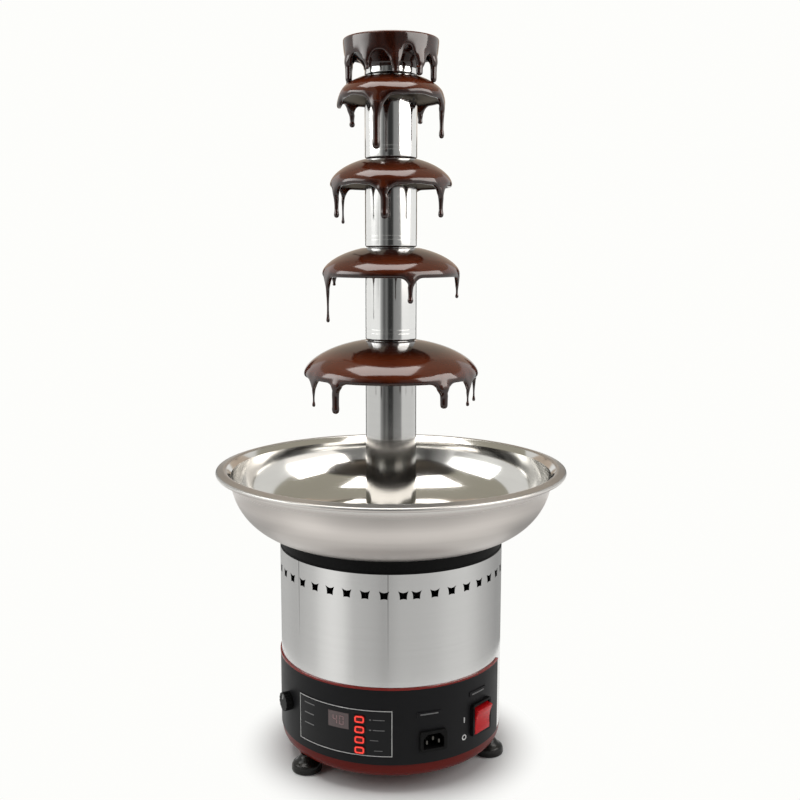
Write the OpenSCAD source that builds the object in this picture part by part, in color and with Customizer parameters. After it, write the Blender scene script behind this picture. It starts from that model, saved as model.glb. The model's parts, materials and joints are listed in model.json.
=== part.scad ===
// Chocolate fountain: a drum base with a heated basin, and a tower of coated tiers stacked round an auger.
// Millimetres, +Z up, origin on the floor under the tower's axis, front towards -Y.
// Azimuths are degrees from the front, positive towards +X.

/* [Base] */
// Outside diameter of the steel drum
drum_d = 257; // [245:1:275]
// Height of the drum's sheet
drum_h = 212; // [200:1:240]
// Thickness of the drum's sheet
drum_t = 1; // [0.8:0.1:1.5]
// Height of the tray's wall below the drum
tray_h = 16; // [14:0.5:22]
// Wall thickness of the tray
tray_t = 2.5; // [2:0.1:3.5]
// Rounding of the tray's lower edge
tray_corner = 11; // [6:0.5:12]
// Height of the collar that shows between the drum and the basin
collar_h = 12.5; // [8:0.5:16]
// Number of vents round the drum
vent_count = 40; // [24:1:42]
// Height of one vent
vent_h = 9.5; // [6:0.5:12]
// Distance from the drum's top edge to the middle of the vents
vent_drop = 22.5; // [18:0.5:34]

/* [Feet] */
// Clear height under the tray
foot_h = 20; // [16:0.5:28]
// Radius of a foot's pad
foot_r = 17; // [12:0.5:20]
// Distance of a foot's stud inside the drum's face
foot_inset = 10.5; // [10:0.5:28]
// Diameter of a foot's threaded stud
stud_d = 6; // [5:0.5:8]
// Levelling travel of a foot
foot_travel = 6; // [2:0.5:8]

/* [Panel] */
// Thickness of the control panel
panel_t = 1.2; // [1:0.1:2]
// Height of the control panel above the drum's lower edge
panel_h = 84.5; // [80:0.5:100]
// Azimuth of the panel's left end
panel_left_az = -100; // [-120:1:-90]
// Azimuth of the panel's right end
panel_right_az = 70; // [66:1:90]
// Height of the trim strip on the panel's top edge
trim_h = 2; // [1:0.1:4]
// Azimuth of the column of keys
key_az = -15; // [-18:0.5:-12]
// Height of the lowest key above the panel's lower edge
key_rise = 16.2; // [14:0.1:22]
// Distance between two keys
key_pitch = 11.6; // [11.2:0.1:12.4]
// Width of a key
key_w = 12; // [9:0.1:12.5]
// Height of a key
key_h = 9; // [7:0.1:9.4]
// Travel of a key
key_travel = 0.8; // [0.4:0.1:1.2]
// Width of the display window
window_w = 25; // [20:0.5:27]
// Height of the display window
window_h = 18; // [14:0.5:20]
// Azimuth of the power inlet
inlet_az = 20.4; // [18:0.2:26]
// Azimuth of the power switch
switch_az = 49.4; // [46:0.2:54]
// Azimuth of the speed knob
knob_az = -62; // [-70:0.5:-61]
// Diameter of the speed knob
knob_d = 21; // [18:0.5:26]
// Depth of the speed knob
knob_h = 8; // [7:0.5:12]

/* [Basin] */
// Diameter over the basin's rolled lip
basin_d = 400; // [388:1:420]
// Thickness of the basin's sheet
basin_t = 1.2; // [1:0.1:1.6]
// Radius of the curve between the basin's floor and wall
bowl_arc_r = 72; // [64:1:74]
// Width of the lip outside the wall's top
lip_w = 11; // [9:0.5:14]
// Height of the lip above the end of the wall's curve
lip_rise = 7.5; // [6:0.5:14]

/* [Tower] */
// Outside diameter of the sleeves between the tiers
sleeve_d = 58; // [56:0.5:62]
// Wall of a sleeve
sleeve_t = 1; // [0.8:0.1:1.4]
// Outside diameter of the barrel that the auger turns in
barrel_d = 48; // [44:0.5:49]
// Wall of the barrel
barrel_t = 1.2; // [1:0.1:1.6]
// Step from one tier's top to the next, from the basin up
tier_step = [218, 104.6, 94.4, 87]; // [70:0.2:240]
// Radius of each steel tier, lowest first
tier_r = [96.8, 75.1, 65.5, 57.3]; // [54:0.1:105]
// Rise of each tier from rim to top, lowest first
tier_rise = [35, 28, 24.6, 19]; // [16:0.2:44]
// Thickness of a tier's sheet
tier_t = 1; // [0.8:0.1:1.4]
// Height of the crown's neck below its cup
neck_h = 17; // [15:0.5:22]
// Depth of the crown's cup
crown_h = 25; // [20:0.5:30]
// Radius of the crown's rim
crown_r = 51.5; // [46:0.5:54]
// Thickness of the chocolate coat
coat_t = 2.2; // [1.6:0.1:2.6]

/* [Auger] */
// Diameter of the auger's core
core_d = 19; // [18:0.5:22]
// Pitch of the auger's flight
flight_pitch = 42; // [30:1:60]
// Thickness of the flight
flight_t = 2; // [1.4:0.1:3]
// Running clearance between the flight and the barrel
flight_gap = 0.6; // [0.3:0.1:1]

/* [Drive] */
// Diameter of the drive shaft
shaft_d = 12; // [10:0.5:14]
// Gear module
gear_m = 1.25; // [1:0.05:1.3]
// Teeth on each large gear
wheel_teeth = 48; // [44:1:48]
// Teeth on each pinion
pinion_teeth = 12; // [12:1:14]
// Face width of a gear
gear_w = 9; // [7:0.5:10]
// Diameter of the motor's can
motor_d = 72; // [66:1:80]
// Length of the motor's can
motor_h = 78; // [70:1:90]

/* [Hidden] */
$fn = 96;

// Gap between pieces of different bodies that rest on each other
seat = 0.3;
// Gap between seated pieces of one body
touch = 0.05;
// Radial clearance of a shaft in its bearing
run = 0.05;
// Radial gap of a pressed joint
grip = 0.01;
// Overshoot of a cut past a face
over = 1;
// Reach of a cut through a curved wall to each side of it
cut_reach = 10;

// Radii and levels of the base
drum_r = drum_d / 2;
drum_in = drum_r - drum_t;
tray_z = foot_h;
drum_z = tray_z + tray_h;
drum_top = drum_z + drum_h;
basin_z = drum_top + collar_h;
basin_in = basin_z + basin_t;

// Tray: the floor inside it, and the upstand that centres the drum
tray_in = tray_z + tray_t;
tray_wall_r = drum_r - tray_t;
upstand_h = 8;

// Feet: left, right, rear
foot_az = [-54, 76, 191];
foot_circle_r = drum_r - foot_inset;
foot_pad_h = 8;
foot_bevel = 2;
foot_shoulder = 2.5;
foot_neck_r = 6.5;
foot_neck_h = 1.5;
stud_r = stud_d / 2;
nut_h = 5;
nut_r = stud_d * 0.92;
boss_h = 3;
boss_r = nut_r + 2;
nut_z = tray_in + boss_h;
stud_spare = 1.5;
stud_top = nut_z + nut_h + foot_travel + stud_spare;

// Vents: a strip punched at one pitch, whose ends meet on a short one
vent_start = 12.1;
vent_close = 6.3;
vent_pitch = (360 - vent_close) / (vent_count - 1);
vent_z = drum_top - vent_drop;
vent_top_w = vent_h * 1.18;
vent_low_w = vent_h * 0.8;
vent_dip = vent_h * 0.07;
vent_top_dip = vent_h * 0.22;
vent_low_dip = vent_h * 0.08;

// Panel levels, with the keypad overlay on it
panel_lift = 0.5;
panel_z = drum_z + panel_lift;
panel_top = panel_z + panel_h;
panel_r0 = drum_r + touch;
panel_r = panel_r0 + panel_t;
overlay_t = 0.4;
overlay_r0 = panel_r + touch;
overlay_r = overlay_r0 + overlay_t;
overlay_az = [-51.3, 1.2];
overlay_rise = 9;
overlay_z = panel_z + overlay_rise;
overlay_h = 53.5;
trim_proud = 0.4;
bar_t = 1;
bar_h = 5;
bar_az = [-8, 4];
bar_rise = 28.2;

// Keys, their retaining flanges and the board behind them
key_count = 4;
key_z = [for (i = [0 : key_count - 1]) panel_z + key_rise + key_pitch * (key_count - 1 - i)];
key_gap = 0.35;
key_round = 2.6;
key_proud = 1.2;
key_face = overlay_r + key_proud;
flange_lap = 0.8;
flange_t = 1.4;
flange_face = sqrt(pow(drum_in, 2) - pow(key_w / 2 + flange_lap, 2)) - seat;
key_stem_r = 2;
board_setback = 15.5;
board_d = drum_in - board_setback;
board_t = 1.6;
board_x = [-42, 15];
board_rise = 7;
board_h = 57;
board_z = [panel_z + board_rise, panel_z + board_rise + board_h];
tact_h = 4;
tact_w = 7;
stem_entry = 0.6;
tact_floor = board_d + tact_h - stem_entry - key_travel - seat;
post_r = 3;
post_inset = 3.5;

// Display window and the digit module behind it, on the board
window_az = -26;
window_rise = 46.2;
window_z = panel_z + window_rise;
digits_x = drum_in * sin(window_az - key_az);
module_h = 8;
module_lap = 1;
window_gap = 0.2;

// Power inlet
inlet_rise = 25.2;
inlet_z = panel_z + inlet_rise;
inlet_w = 31;
inlet_h = 23;
inlet_body_w = 27;
inlet_body_h = 19.5;
inlet_proud = 3;
inlet_face = panel_r + inlet_proud;
inlet_depth = 25;
fitting_round = 2.5;
fitting_sink = 4;
socket_w = 24;
socket_h = 16.6;
socket_depth = 17;
socket_clip = 5;
blade_w = 2;
blade_h = 4;
blade_len = 14;
blade_pitch = 7;
blade_offset = 2;

// Power switch: a rocker on two stub pins in a framed housing
switch_rise = 34.9;
switch_z = panel_z + switch_rise;
throw = 16;
rocker_w = 27;
rocker_h = 29;
rocker_crest = 6.3;
rocker_gap = 0.4;
frame_wall = 2.6;
frame_proud = 3.6;
frame_face = panel_r + frame_proud;
pivot_sink = 5.5;
pivot_d = frame_face - pivot_sink;
pivot_r = 1.5;
rocker_end = rocker_crest + rocker_h / 2 * tan(throw / 2);
rocker_sweep = norm([rocker_h / 2, rocker_end]);
opening_h = 2 * (rocker_sweep * cos(atan2(rocker_end, rocker_h / 2) - throw / 2) + rocker_gap);
opening_w = rocker_w + 2 * rocker_gap;
frame_w = opening_w + 2 * frame_wall;
frame_h = opening_h + 2 * frame_wall;
switch_depth = 26;
switch_wall = 1.6;
switch_w = opening_w + 2 * switch_wall;
switch_h = opening_h + 2 * switch_wall;
rocker_belly = 3;
stub = 0.7;
stub_gap = 0.2;

// Speed knob and its control
knob_rise = 42.5;
knob_z = panel_z + knob_rise;
knob_gap = 0.4;
knob_back = panel_r + knob_gap;
knob_clear = 0.6;
flute_count = 14;
flute_r = 1.6;
flute_cut = 0.7;
flute_from = 2.5;
spindle_r = 3;
spindle_end = 2;
pot_r = 8.5;
pot_h = 10;
bush_r = 4.5;
pot_nut_r = 7;
pot_nut_h = 2;
pot_gap = sqrt(pow(drum_in, 2) - pow(pot_r, 2));
nut_face = panel_r + touch + pot_nut_h;

// Collar: seat on the drum, skirt inside it, and the ledge that carries the bridge plate
collar_inset = 0.8;
collar_r = drum_r - collar_inset;
collar_wall = 11;
collar_lip = 8;
collar_flange_h = 1.5;
skirt_h = 12;
collar_in = collar_r - collar_wall;
ledge_w = 10;
ledge_in = collar_in - ledge_w;
ledge_h = 8;
ledge_z = drum_top - skirt_h;
screw_circle_r = (collar_in + ledge_in) / 2;

// Basin: floor, curve, wall and lip
lip_r = basin_d / 2;
lip_roll = 2.6;
lip_in = lip_r - lip_w;
wall_flare = 5;
wall_r = lip_in - wall_flare;
floor_r = wall_r - bowl_arc_r;
bowl_z = basin_z + bowl_arc_r;
rim_z = bowl_z + lip_rise;
lip_fall = 2.2;
bowl_steps = 16;

// Drive stack under the basin
plate_t = 2.5;
plate_z = ledge_z - plate_t;
plate_lap = 3;
plate_r = collar_in + plate_lap;
cover_t = 7.5;
cover_z = plate_z - cover_t;
box_floor_t = 3;
gear_play = 1.5;
wheel_r = gear_m * wheel_teeth / 2;
pinion_r = gear_m * pinion_teeth / 2;
centre_d = wheel_r + pinion_r;
pressure = 25;
addendum = 0.9 * gear_m;
dedendum = 1.15 * gear_m;
backlash = 0.2;
gear_clear = 1.6;
box_in_r = wheel_r + addendum + gear_clear;
box_wall = 3;
box_r = box_in_r + box_wall;
upper_z = cover_z - gear_play - gear_w;
lower_z = upper_z - gear_play - gear_w;
box_z = lower_z - gear_play - box_floor_t;
screw_r = 2;
screw_len = 14;
screw_head_r = 3.5;
screw_head_h = 2.6;
ear_r = 5.5;
ear_x = box_r + screw_head_r + seat;
ear_t = 4;
idler_pin_r = 4;
motor_shaft_r = 3;
motor_r = motor_d / 2;
motor_wall = 2.5;
motor_floor = 3.5;
motor_skin = 1;
rotor_play = 1;
motor_z = box_z - motor_h;
stator_t = 9;
stator_inset = 12;
air_gap = 0.6;

// Hub through the basin's floor, with the bushes and the seal on the shaft
shaft_r = shaft_d / 2;
bush_t = 3;
bushing_r = shaft_r + bush_t;
hub_t = 3;
hub_r = bushing_r + hub_t;
hub_flange_w = 6;
hub_flange_r = hub_r + hub_flange_w;
hub_flange_h = 3;
hub_h = 16;
hub_nut_h = 8;
hub_nut_r = hub_r + hub_flange_w;
hub_end = 2;
hub_low = basin_z - hub_nut_h - hub_end;
seal_h = 6;
heater_r = [46, 80];
heater_h = 8;
thermostat_r = 9;
thermostat_h = 6;
thermostat_at = 92;
thermostat_az = 150;

// Tower: radii, and the levels that the steps add up to
barrel_r = barrel_d / 2;
barrel_in = barrel_r - barrel_t;
sleeve_r = sleeve_d / 2;
sleeve_in = sleeve_r - sleeve_t;
tower_z = basin_in + seat;
slip_r = barrel_r + seat;
tier_count = 4;
function steps_to(k) = k < 0 ? 0 : tier_step[k] + steps_to(k - 1);
tier_top = [for (k = [0 : tier_count - 1]) basin_in + steps_to(k)];
tier_rim = [for (k = [0 : tier_count - 1]) tier_top[k] - tier_rise[k]];
cap_t = 1.6;
dome_steps = 9;
shoulder_w = 3;
shoulder_r = sleeve_r + shoulder_w;
end_round = 7;
end_steps = 6;
line_w = 0.6;
line_depth = 0.3;
line_rise = 12;
pin_gap = 0.2;
locator_r = (sleeve_in - barrel_r) / 2 - pin_gap;
locator_at = (sleeve_in + barrel_r) / 2;
locator_h = 12;
locator_az = [45, 135, 225, 315];
arch_count = 4;
arch_w = 17;
arch_h = 26;

// Crown, which stands on the top tier, and the barrel's mouth inside it
neck_z = tier_top[tier_count - 1] + seat;
cup_z = neck_z + neck_h;
crown_rim = cup_z + crown_h;
cup_t = 1.2;
cup_rise = 0.6;
cup_floor_t = 1.6;
cup_power = 0.8;
cup_steps = 7;
barrel_drop = 2.5;
barrel_top = crown_rim - barrel_drop;

// Auger on the drive shaft's cross pin
core_r = core_d / 2;
auger_lift = 2;
auger_z = basin_in + hub_h + auger_lift;
spigot_h = 24;
shaft_top = auger_z + spigot_h;
cross_pin_r = 1.5;
cross_pin_rise = 10;
cross_pin_z = auger_z + cross_pin_rise;
cross_pin_inset = 1;
cross_pin_len = core_d - 2 * cross_pin_inset;
slot_gap = 0.15;
slot_top = cross_pin_z + cross_pin_r + seat;
auger_drop = 24;
core_top = barrel_top - auger_drop;
flight_inset = [4, 6];
flight_low = auger_z + flight_inset[0];
flight_top = core_top - flight_inset[1];
flight_sides = 20;
flight_in = (core_r + grip) / cos(180 / flight_sides);
flight_r = barrel_in - flight_gap;

// Drips: azimuth, length below the rim, radius of the drop
drips = [
    [[-62, 33, 2.0], [-38, 37, 4.2], [36, 30, 4.6], [61, 33, 2.0], [97, 36, 2.0], [150, 27, 3.6],
     [-155, 33, 3.0]],
    [[-69, 54, 2.2], [-118, 16, 2.6], [16, 31, 3.2], [80, 28, 2.2], [165, 33, 2.8], [-163, 30, 2.4]],
    [[-66, 38, 3.2], [-122, 43, 2.0], [-6, 40, 4.4], [56, 38, 3.2], [160, 30, 3.4], [-165, 34, 2.6]],
    [[-129, 28, 3.2], [-16, 60, 4.0], [76, 45, 3.0], [144, 23, 3.2], [-78, 18, 2.6]]
];
crown_drips = [[-31, 32, 3.0], [6, 38, 4.4], [38, 39, 3.2], [108, 30, 3.0], [150, 37, 3.8], [-150, 32, 3.2]];
crown_streams = [-70, 70, -108];
stream_r = 2.6;

// Coats: the gap round the sleeve above, and the bead that rolls under a tier's rim
coat_gap = 0.6;
rim_lift = 2;
rim_drop = 4;
bead_in = 2;
bead_out = 0.5;
drip_sink = 0.4;
root_share = 1.3;

// Crown's coat: the pool in the cup, the crest over the rim and the band that rolls down outside
pool_drop = 1;
crest_h = 2;
crest_w = 6;
band_first = 3;
band_t = 3;
crown_drip_sink = 5;

// Points of an arc from angle a0 to a1
function arc(cx, cy, r, a0, a1, n) =
    [for (i = [0 : n]) let(a = a0 + (a1 - a0) * i / n) [cx + r * cos(a), cy + r * sin(a)]];

// Outline of a rectangle with round corners, about its own middle
function rounded_rect(w, h, r, n = 4) =
    [for (c = [[1, 1, 0], [-1, 1, 90], [-1, -1, 180], [1, -1, 270]])
        each arc(c[0] * (w / 2 - r), c[1] * (h / 2 - r), r, c[2], c[2] + 90, n)];

// List in the opposite order
function reversed(list) = [for (i = [len(list) - 1 : -1 : 0]) list[i]];

// Outline of a dome from its rim in to radius r_in, on an ellipse about the axis
function dome(r_in, r_out, z_rim, rise) =
    let(end = acos(r_in / r_out))
        [for (i = [0 : dome_steps]) let(t = end * i / dome_steps)
            [r_out * cos(t), z_rim + rise * sin(t) / sin(end)]];

// Height of that outline at radius r
function dome_height(r, r_in, r_out, z_rim, rise) =
    z_rim + rise * sin(acos(r / r_out)) / sin(acos(r_in / r_out));

// Turns and lifts a piece that is modelled at the front of the axis
module at(az, z = 0) {
    rotate([0, 0, az]) translate([0, 0, z]) children();
}

// Extrudes an outline of X and Z away from the axis, from distance d0 to d1 at the front
module outward(d0, d1) {
    translate([0, -d0, 0]) rotate([90, 0, 0]) linear_extrude(d1 - d0) children();
}

// Round bar that points away from the axis at the front
module rod(r, d0, d1) {
    translate([0, -d0, 0]) rotate([90, 0, 0]) cylinder(r = r, h = d1 - d0);
}

// Upright cylinder from z0 to z1
module post(r, z0, z1) {
    translate([0, 0, z0]) cylinder(r = r, h = z1 - z0);
}

// Upright ring
module ring(r0, r1, z0, z1) {
    difference() {
        post(r1, z0, z1);
        post(r0, z0 - over, z1 + over);
    }
}

// Part of an upright ring between two azimuths
module sector(r0, r1, z0, z1, az0, az1) {
    rotate([0, 0, az0 - 90])
        rotate_extrude(angle = az1 - az0)
            translate([r0, z0]) square([r1 - r0, z1 - z0]);
}

// Hexagonal nut with a bore
module hex_nut(r, bore, z0, z1) {
    difference() {
        translate([0, 0, z0]) cylinder(r = r, h = z1 - z0, $fn = 6);
        post(bore, z0 - over, z1 + over);
    }
}

// Base

// Places of the feet
module foot_places() {
    for (az = foot_az) at(az) translate([0, -foot_circle_r, 0]) children();
}

module base_tray() {
    outer = concat(
        [[0, tray_z]],
        arc(drum_r - tray_corner, tray_z + tray_corner, tray_corner, -90, 0, 8),
        [[drum_r, drum_z], [drum_in - touch, drum_z], [drum_in - touch, drum_z + upstand_h]]
    );
    inner = concat(
        [[tray_wall_r, drum_z + upstand_h]],
        arc(drum_r - tray_corner, tray_z + tray_corner, tray_corner - tray_t, 0, -90, 8),
        [[0, tray_in]]
    );
    color([0.30, 0.07, 0.06])
        difference() {
            union() {
                rotate_extrude() polygon(concat(outer, inner));
                foot_places() post(boss_r, tray_in - touch, nut_z);
            }
            foot_places() post(stud_r + run, tray_z - over, nut_z + over);
        }
}

module foot_nuts() {
    color([0.62, 0.62, 0.62])
        foot_places() hex_nut(nut_r, stud_r + run, nut_z, nut_z + nut_h);
}

module foot(i) {
    top = tray_z - seat;
    profile = [
        [0, 0], [foot_r - foot_bevel, 0], [foot_r, foot_bevel], [foot_r - foot_bevel / 4, foot_pad_h],
        [foot_r - foot_shoulder, foot_pad_h + foot_shoulder],
        [foot_neck_r + foot_shoulder, top - foot_neck_h - foot_shoulder],
        [foot_neck_r, top - foot_neck_h], [foot_neck_r, top], [0, top]
    ];
    color([0.08, 0.08, 0.07])
        at(foot_az[i]) translate([0, -foot_circle_r, 0]) {
            rotate_extrude() polygon(profile);
            post(stud_r, top - foot_neck_h, stud_top);
        }
}

// Outline of one vent: four points joined by hollow curves
function hollow(a, b, dip, n = 4) =
    let(d = (b - a) / norm(b - a), side = [-d[1], d[0]])
        [for (i = [0 : n - 1]) a + (b - a) * i / n + side * dip * sin(180 * i / n)];

function vent_outline() =
    let(p = [[vent_top_w / 2, vent_h / 2], [-vent_top_w / 2, vent_h / 2],
             [-vent_low_w / 2, -vent_h / 2], [vent_low_w / 2, -vent_h / 2]])
        concat(hollow(p[0], p[1], vent_top_dip), hollow(p[1], p[2], vent_dip),
               hollow(p[2], p[3], vent_low_dip), hollow(p[3], p[0], vent_dip));

// Holes that the panel's fittings need through the panel and the drum
module panel_holes() {
    inside = drum_r - cut_reach;
    outside = drum_r + cut_reach;
    for (i = [0 : key_count - 1])
        at(key_az, key_z[i])
            outward(inside, outside)
                polygon(rounded_rect(key_w + 2 * key_gap, key_h + 2 * key_gap, key_round + key_gap));
    at(window_az, window_z)
        outward(inside, outside) square([window_w + 2 * window_gap, window_h + 2 * window_gap], center = true);
    at(inlet_az, inlet_z)
        outward(inside, outside) square([inlet_body_w + 2 * touch, inlet_body_h + 2 * touch], center = true);
    at(switch_az, switch_z)
        outward(inside, outside) square([switch_w + 2 * touch, switch_h + 2 * touch], center = true);
    at(knob_az, knob_z) rod(bush_r + touch, inside, outside);
}

module drum_shell() {
    color([0.78, 0.78, 0.78])
        difference() {
            ring(drum_in, drum_r, drum_z, drum_top);
            for (i = [0 : vent_count - 1])
                at(vent_start + vent_pitch * i, vent_z)
                    outward(drum_r - cut_reach, drum_r + cut_reach) polygon(vent_outline());
            panel_holes();
        }
}

// Control panel

module panel_plate() {
    color([0.10, 0.10, 0.11]) {
        difference() {
            sector(panel_r0, panel_r, panel_z, panel_top, panel_left_az, panel_right_az);
            panel_holes();
        }
        for (p = [[inlet_az, inlet_z], [switch_az, switch_z]])
            at(p[0], p[1] + bar_rise) sector(panel_r - touch, panel_r + bar_t, 0, bar_h, bar_az[0], bar_az[1]);
    }
}

module panel_trim() {
    color([0.55, 0.16, 0.14])
        sector(panel_r0, panel_r + trim_proud, panel_top + touch, panel_top + trim_h, panel_left_az, panel_right_az);
}

module keypad_overlay() {
    color([0.11, 0.11, 0.12])
        difference() {
            sector(overlay_r0, overlay_r, overlay_z, overlay_z + overlay_h, overlay_az[0], overlay_az[1]);
            panel_holes();
        }
}

module display_window() {
    color([0.36, 0.29, 0.29])
        intersection() {
            at(window_az, window_z)
                outward(drum_r - cut_reach, drum_r + cut_reach) square([window_w, window_h], center = true);
            ring(drum_in, overlay_r, panel_z, panel_top);
        }
}

// Everything on the board shares the keys' direction
module on_board() {
    at(key_az) children();
}

module control_board() {
    color([0.10, 0.32, 0.18])
        on_board() {
            translate([board_x[0], -board_d, board_z[0]])
                cube([board_x[1] - board_x[0], board_t, board_z[1] - board_z[0]]);
            for (z = key_z)
                difference() {
                    translate([-tact_w / 2, -board_d - tact_h, z - tact_w / 2])
                        cube([tact_w, tact_h + touch, tact_w]);
                    translate([0, 0, z]) rod(key_stem_r + key_gap, tact_floor, board_d + tact_h + over);
                }
            translate([digits_x - window_w / 2 - module_lap, -board_d - module_h, window_z - window_h / 2])
                cube([window_w + 2 * module_lap, module_h + touch, window_h]);
        }
}

module board_posts() {
    color([0.62, 0.62, 0.62])
        intersection() {
            on_board()
                for (x = [board_x[0] + post_inset, board_x[1] - post_inset])
                    for (z = [board_z[0] + post_inset, board_z[1] - post_inset])
                        translate([x, 0, z]) rod(post_r, board_d + touch, drum_r);
            post(drum_in - touch, panel_z, panel_top);
        }
}

module key(i) {
    lap_w = key_w + 2 * flange_lap;
    lap_h = key_h + 2 * flange_lap;
    color([0.55, 0.10, 0.09])
        at(key_az, key_z[i]) {
            outward(flange_face - touch, key_face) polygon(rounded_rect(key_w, key_h, key_round));
            outward(flange_face - flange_t, flange_face) square([lap_w, lap_h], center = true);
            rod(key_stem_r, board_d + tact_h - stem_entry, flange_face - flange_t + touch);
        }
}

// What a fitting's flange loses to the panel's curve, round a body that passes through
module panel_seat(body_w, body_h, flange_h) {
    difference() {
        ring(panel_r - 2 * fitting_sink, panel_r + touch, -flange_h, flange_h);
        outward(panel_r - 4 * fitting_sink, panel_r + fitting_sink) square([body_w, body_h], center = true);
    }
}

module inlet_housing() {
    half_w = socket_w / 2;
    half_h = socket_h / 2;
    color([0.06, 0.06, 0.06])
        at(inlet_az, inlet_z)
            difference() {
                union() {
                    outward(panel_r - fitting_sink, inlet_face)
                        polygon(rounded_rect(inlet_w, inlet_h, fitting_round));
                    outward(panel_r - inlet_depth, panel_r) square([inlet_body_w, inlet_body_h], center = true);
                }
                panel_seat(inlet_body_w, inlet_body_h, inlet_h);
                outward(inlet_face - socket_depth, inlet_face + over)
                    polygon([[-half_w, -half_h], [half_w, -half_h], [half_w, half_h - socket_clip],
                             [half_w - socket_clip, half_h], [socket_clip - half_w, half_h],
                             [-half_w, half_h - socket_clip]]);
            }
}

module inlet_pins() {
    back = inlet_face - socket_depth + touch;
    color([0.75, 0.74, 0.70])
        at(inlet_az, inlet_z)
            for (i = [-1 : 1])
                translate([i * blade_pitch, 0, i == 0 ? blade_offset : -blade_offset])
                    outward(back, back + blade_len) square([blade_w, blade_h], center = true);
}

module switch_housing() {
    color([0.05, 0.05, 0.05])
        at(switch_az, switch_z)
            difference() {
                union() {
                    outward(panel_r - fitting_sink, frame_face)
                        polygon(rounded_rect(frame_w, frame_h, fitting_round));
                    outward(frame_face - switch_depth, panel_r) square([switch_w, switch_h], center = true);
                }
                panel_seat(switch_w, switch_h, frame_h);
                outward(frame_face - switch_depth + switch_wall, frame_face + over)
                    square([opening_w, opening_h], center = true);
                translate([0, -pivot_d, 0])
                    rotate([0, 90, 0])
                        cylinder(r = pivot_r + run, h = opening_w + 2 * (stub + stub_gap), center = true);
            }
}

// Modelled with its lower half pressed in
module rocker() {
    half = rocker_h / 2;
    profile = [
        [half, rocker_end], [0, rocker_crest], [-half, rocker_end], [-half, 0],
        [-half / 2, -rocker_belly], [half / 2, -rocker_belly], [half, 0]
    ];
    color([0.71, 0.06, 0.11])
        at(switch_az, switch_z)
            translate([0, -pivot_d, 0])
                rotate([throw / 2, 0, 0]) {
                    rotate([0, 90, 0]) cylinder(r = pivot_r, h = opening_w + 2 * stub, center = true);
                    translate([-rocker_w / 2, 0, 0])
                        rotate([0, 90, 0])
                            linear_extrude(rocker_w) polygon([for (p = profile) [-p[0], -p[1]]]);
                }
}

module speed_control() {
    color([0.5, 0.5, 0.5])
        at(knob_az, knob_z)
            difference() {
                union() {
                    rod(pot_r, pot_gap - seat - pot_h, pot_gap - seat);
                    rod(bush_r, pot_gap - seat - touch, nut_face);
                    rod(pot_nut_r, nut_face - pot_nut_h, nut_face, $fn = 6);
                }
                rod(spindle_r + run, pot_gap - pot_h - over, nut_face + over);
            }
}

module knob() {
    front = knob_back + knob_h;
    color([0.06, 0.06, 0.06])
        at(knob_az, knob_z) {
            difference() {
                rod(knob_d / 2, knob_back, front);
                rod(pot_nut_r + knob_clear, knob_back - over, nut_face + knob_clear);
                for (i = [0 : flute_count - 1])
                    rotate([0, 360 * i / flute_count, 0])
                        translate([knob_d / 2 + flute_r - flute_cut, 0, 0])
                            rod(flute_r, knob_back + flute_from, front + over);
            }
            rod(spindle_r, pot_gap - pot_h + spindle_end, front - spindle_end);
        }
}

// Collar, basin and what heats it

// Solid that the basin's outside fills, grown by a gap
module basin_body(gap) {
    rotate_extrude()
        polygon(concat(
            [[0, basin_z - gap]],
            arc(floor_r, bowl_z, bowl_arc_r + gap, -90, 0, bowl_steps),
            [[0, bowl_z]]
        ));
}

module top_collar() {
    top = basin_z + collar_lip;
    profile = [
        [ledge_in, ledge_z], [drum_in - touch, ledge_z], [drum_in - touch, drum_top + touch],
        [drum_r - seat, drum_top + touch], [drum_r - seat, drum_top + collar_flange_h],
        [collar_r, drum_top + collar_flange_h], [collar_r, top], [collar_in, top],
        [collar_in, ledge_z + ledge_h], [ledge_in, ledge_z + ledge_h]
    ];
    color([0.07, 0.07, 0.07])
        difference() {
            rotate_extrude() polygon(profile);
            basin_body(touch);
            collar_screws() post(screw_r + touch, ledge_z - over, ledge_z + ledge_h + over);
        }
}

// Places of the screws that hold the bridge plate to the collar
module collar_screws() {
    for (az = [30 : 60 : 330]) at(az) translate([0, -screw_circle_r, 0]) children();
}

// Places of the screws that hold the gearbox to the bridge plate
module ear_places() {
    for (x = [-ear_x, ear_x]) for (y = [0, centre_d]) translate([x, y, 0]) children();
}

module bridge_plate() {
    color([0.70, 0.70, 0.70])
        difference() {
            post(plate_r, plate_z, ledge_z - touch);
            post(bushing_r + bush_t, plate_z - over, ledge_z + over);
            collar_screws() post(screw_r + touch, plate_z - over, ledge_z + over);
            ear_places() post(screw_r + touch, plate_z - over, ledge_z + over);
        }
}

// One screw, with the underside of its head at z
module m4_screw(z) {
    post(screw_r, z - touch, z + screw_len);
    post(screw_head_r, z - screw_head_h, z);
}

module m4_screws() {
    color([0.62, 0.62, 0.62]) {
        collar_screws() m4_screw(plate_z - touch);
        ear_places() m4_screw(cover_z - ear_t - touch);
    }
}

module basin() {
    outer = concat(
        [[hub_r + touch, basin_z]],
        arc(floor_r, bowl_z, bowl_arc_r, -90, 0, bowl_steps),
        [[lip_in + basin_t / 2, rim_z - basin_t], [lip_r - lip_roll, rim_z - lip_fall - basin_t]]
    );
    inner = concat(
        [[lip_r - lip_roll, rim_z - lip_fall], [lip_in, rim_z]],
        arc(floor_r, bowl_z, bowl_arc_r - basin_t, 0, -90, bowl_steps),
        [[hub_r + touch, basin_in]]
    );
    color([0.82, 0.81, 0.78])
        rotate_extrude() {
            polygon(concat(outer, inner));
            translate([lip_r - lip_roll, rim_z - lip_fall - lip_roll]) circle(r = lip_roll);
        }
}

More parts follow.
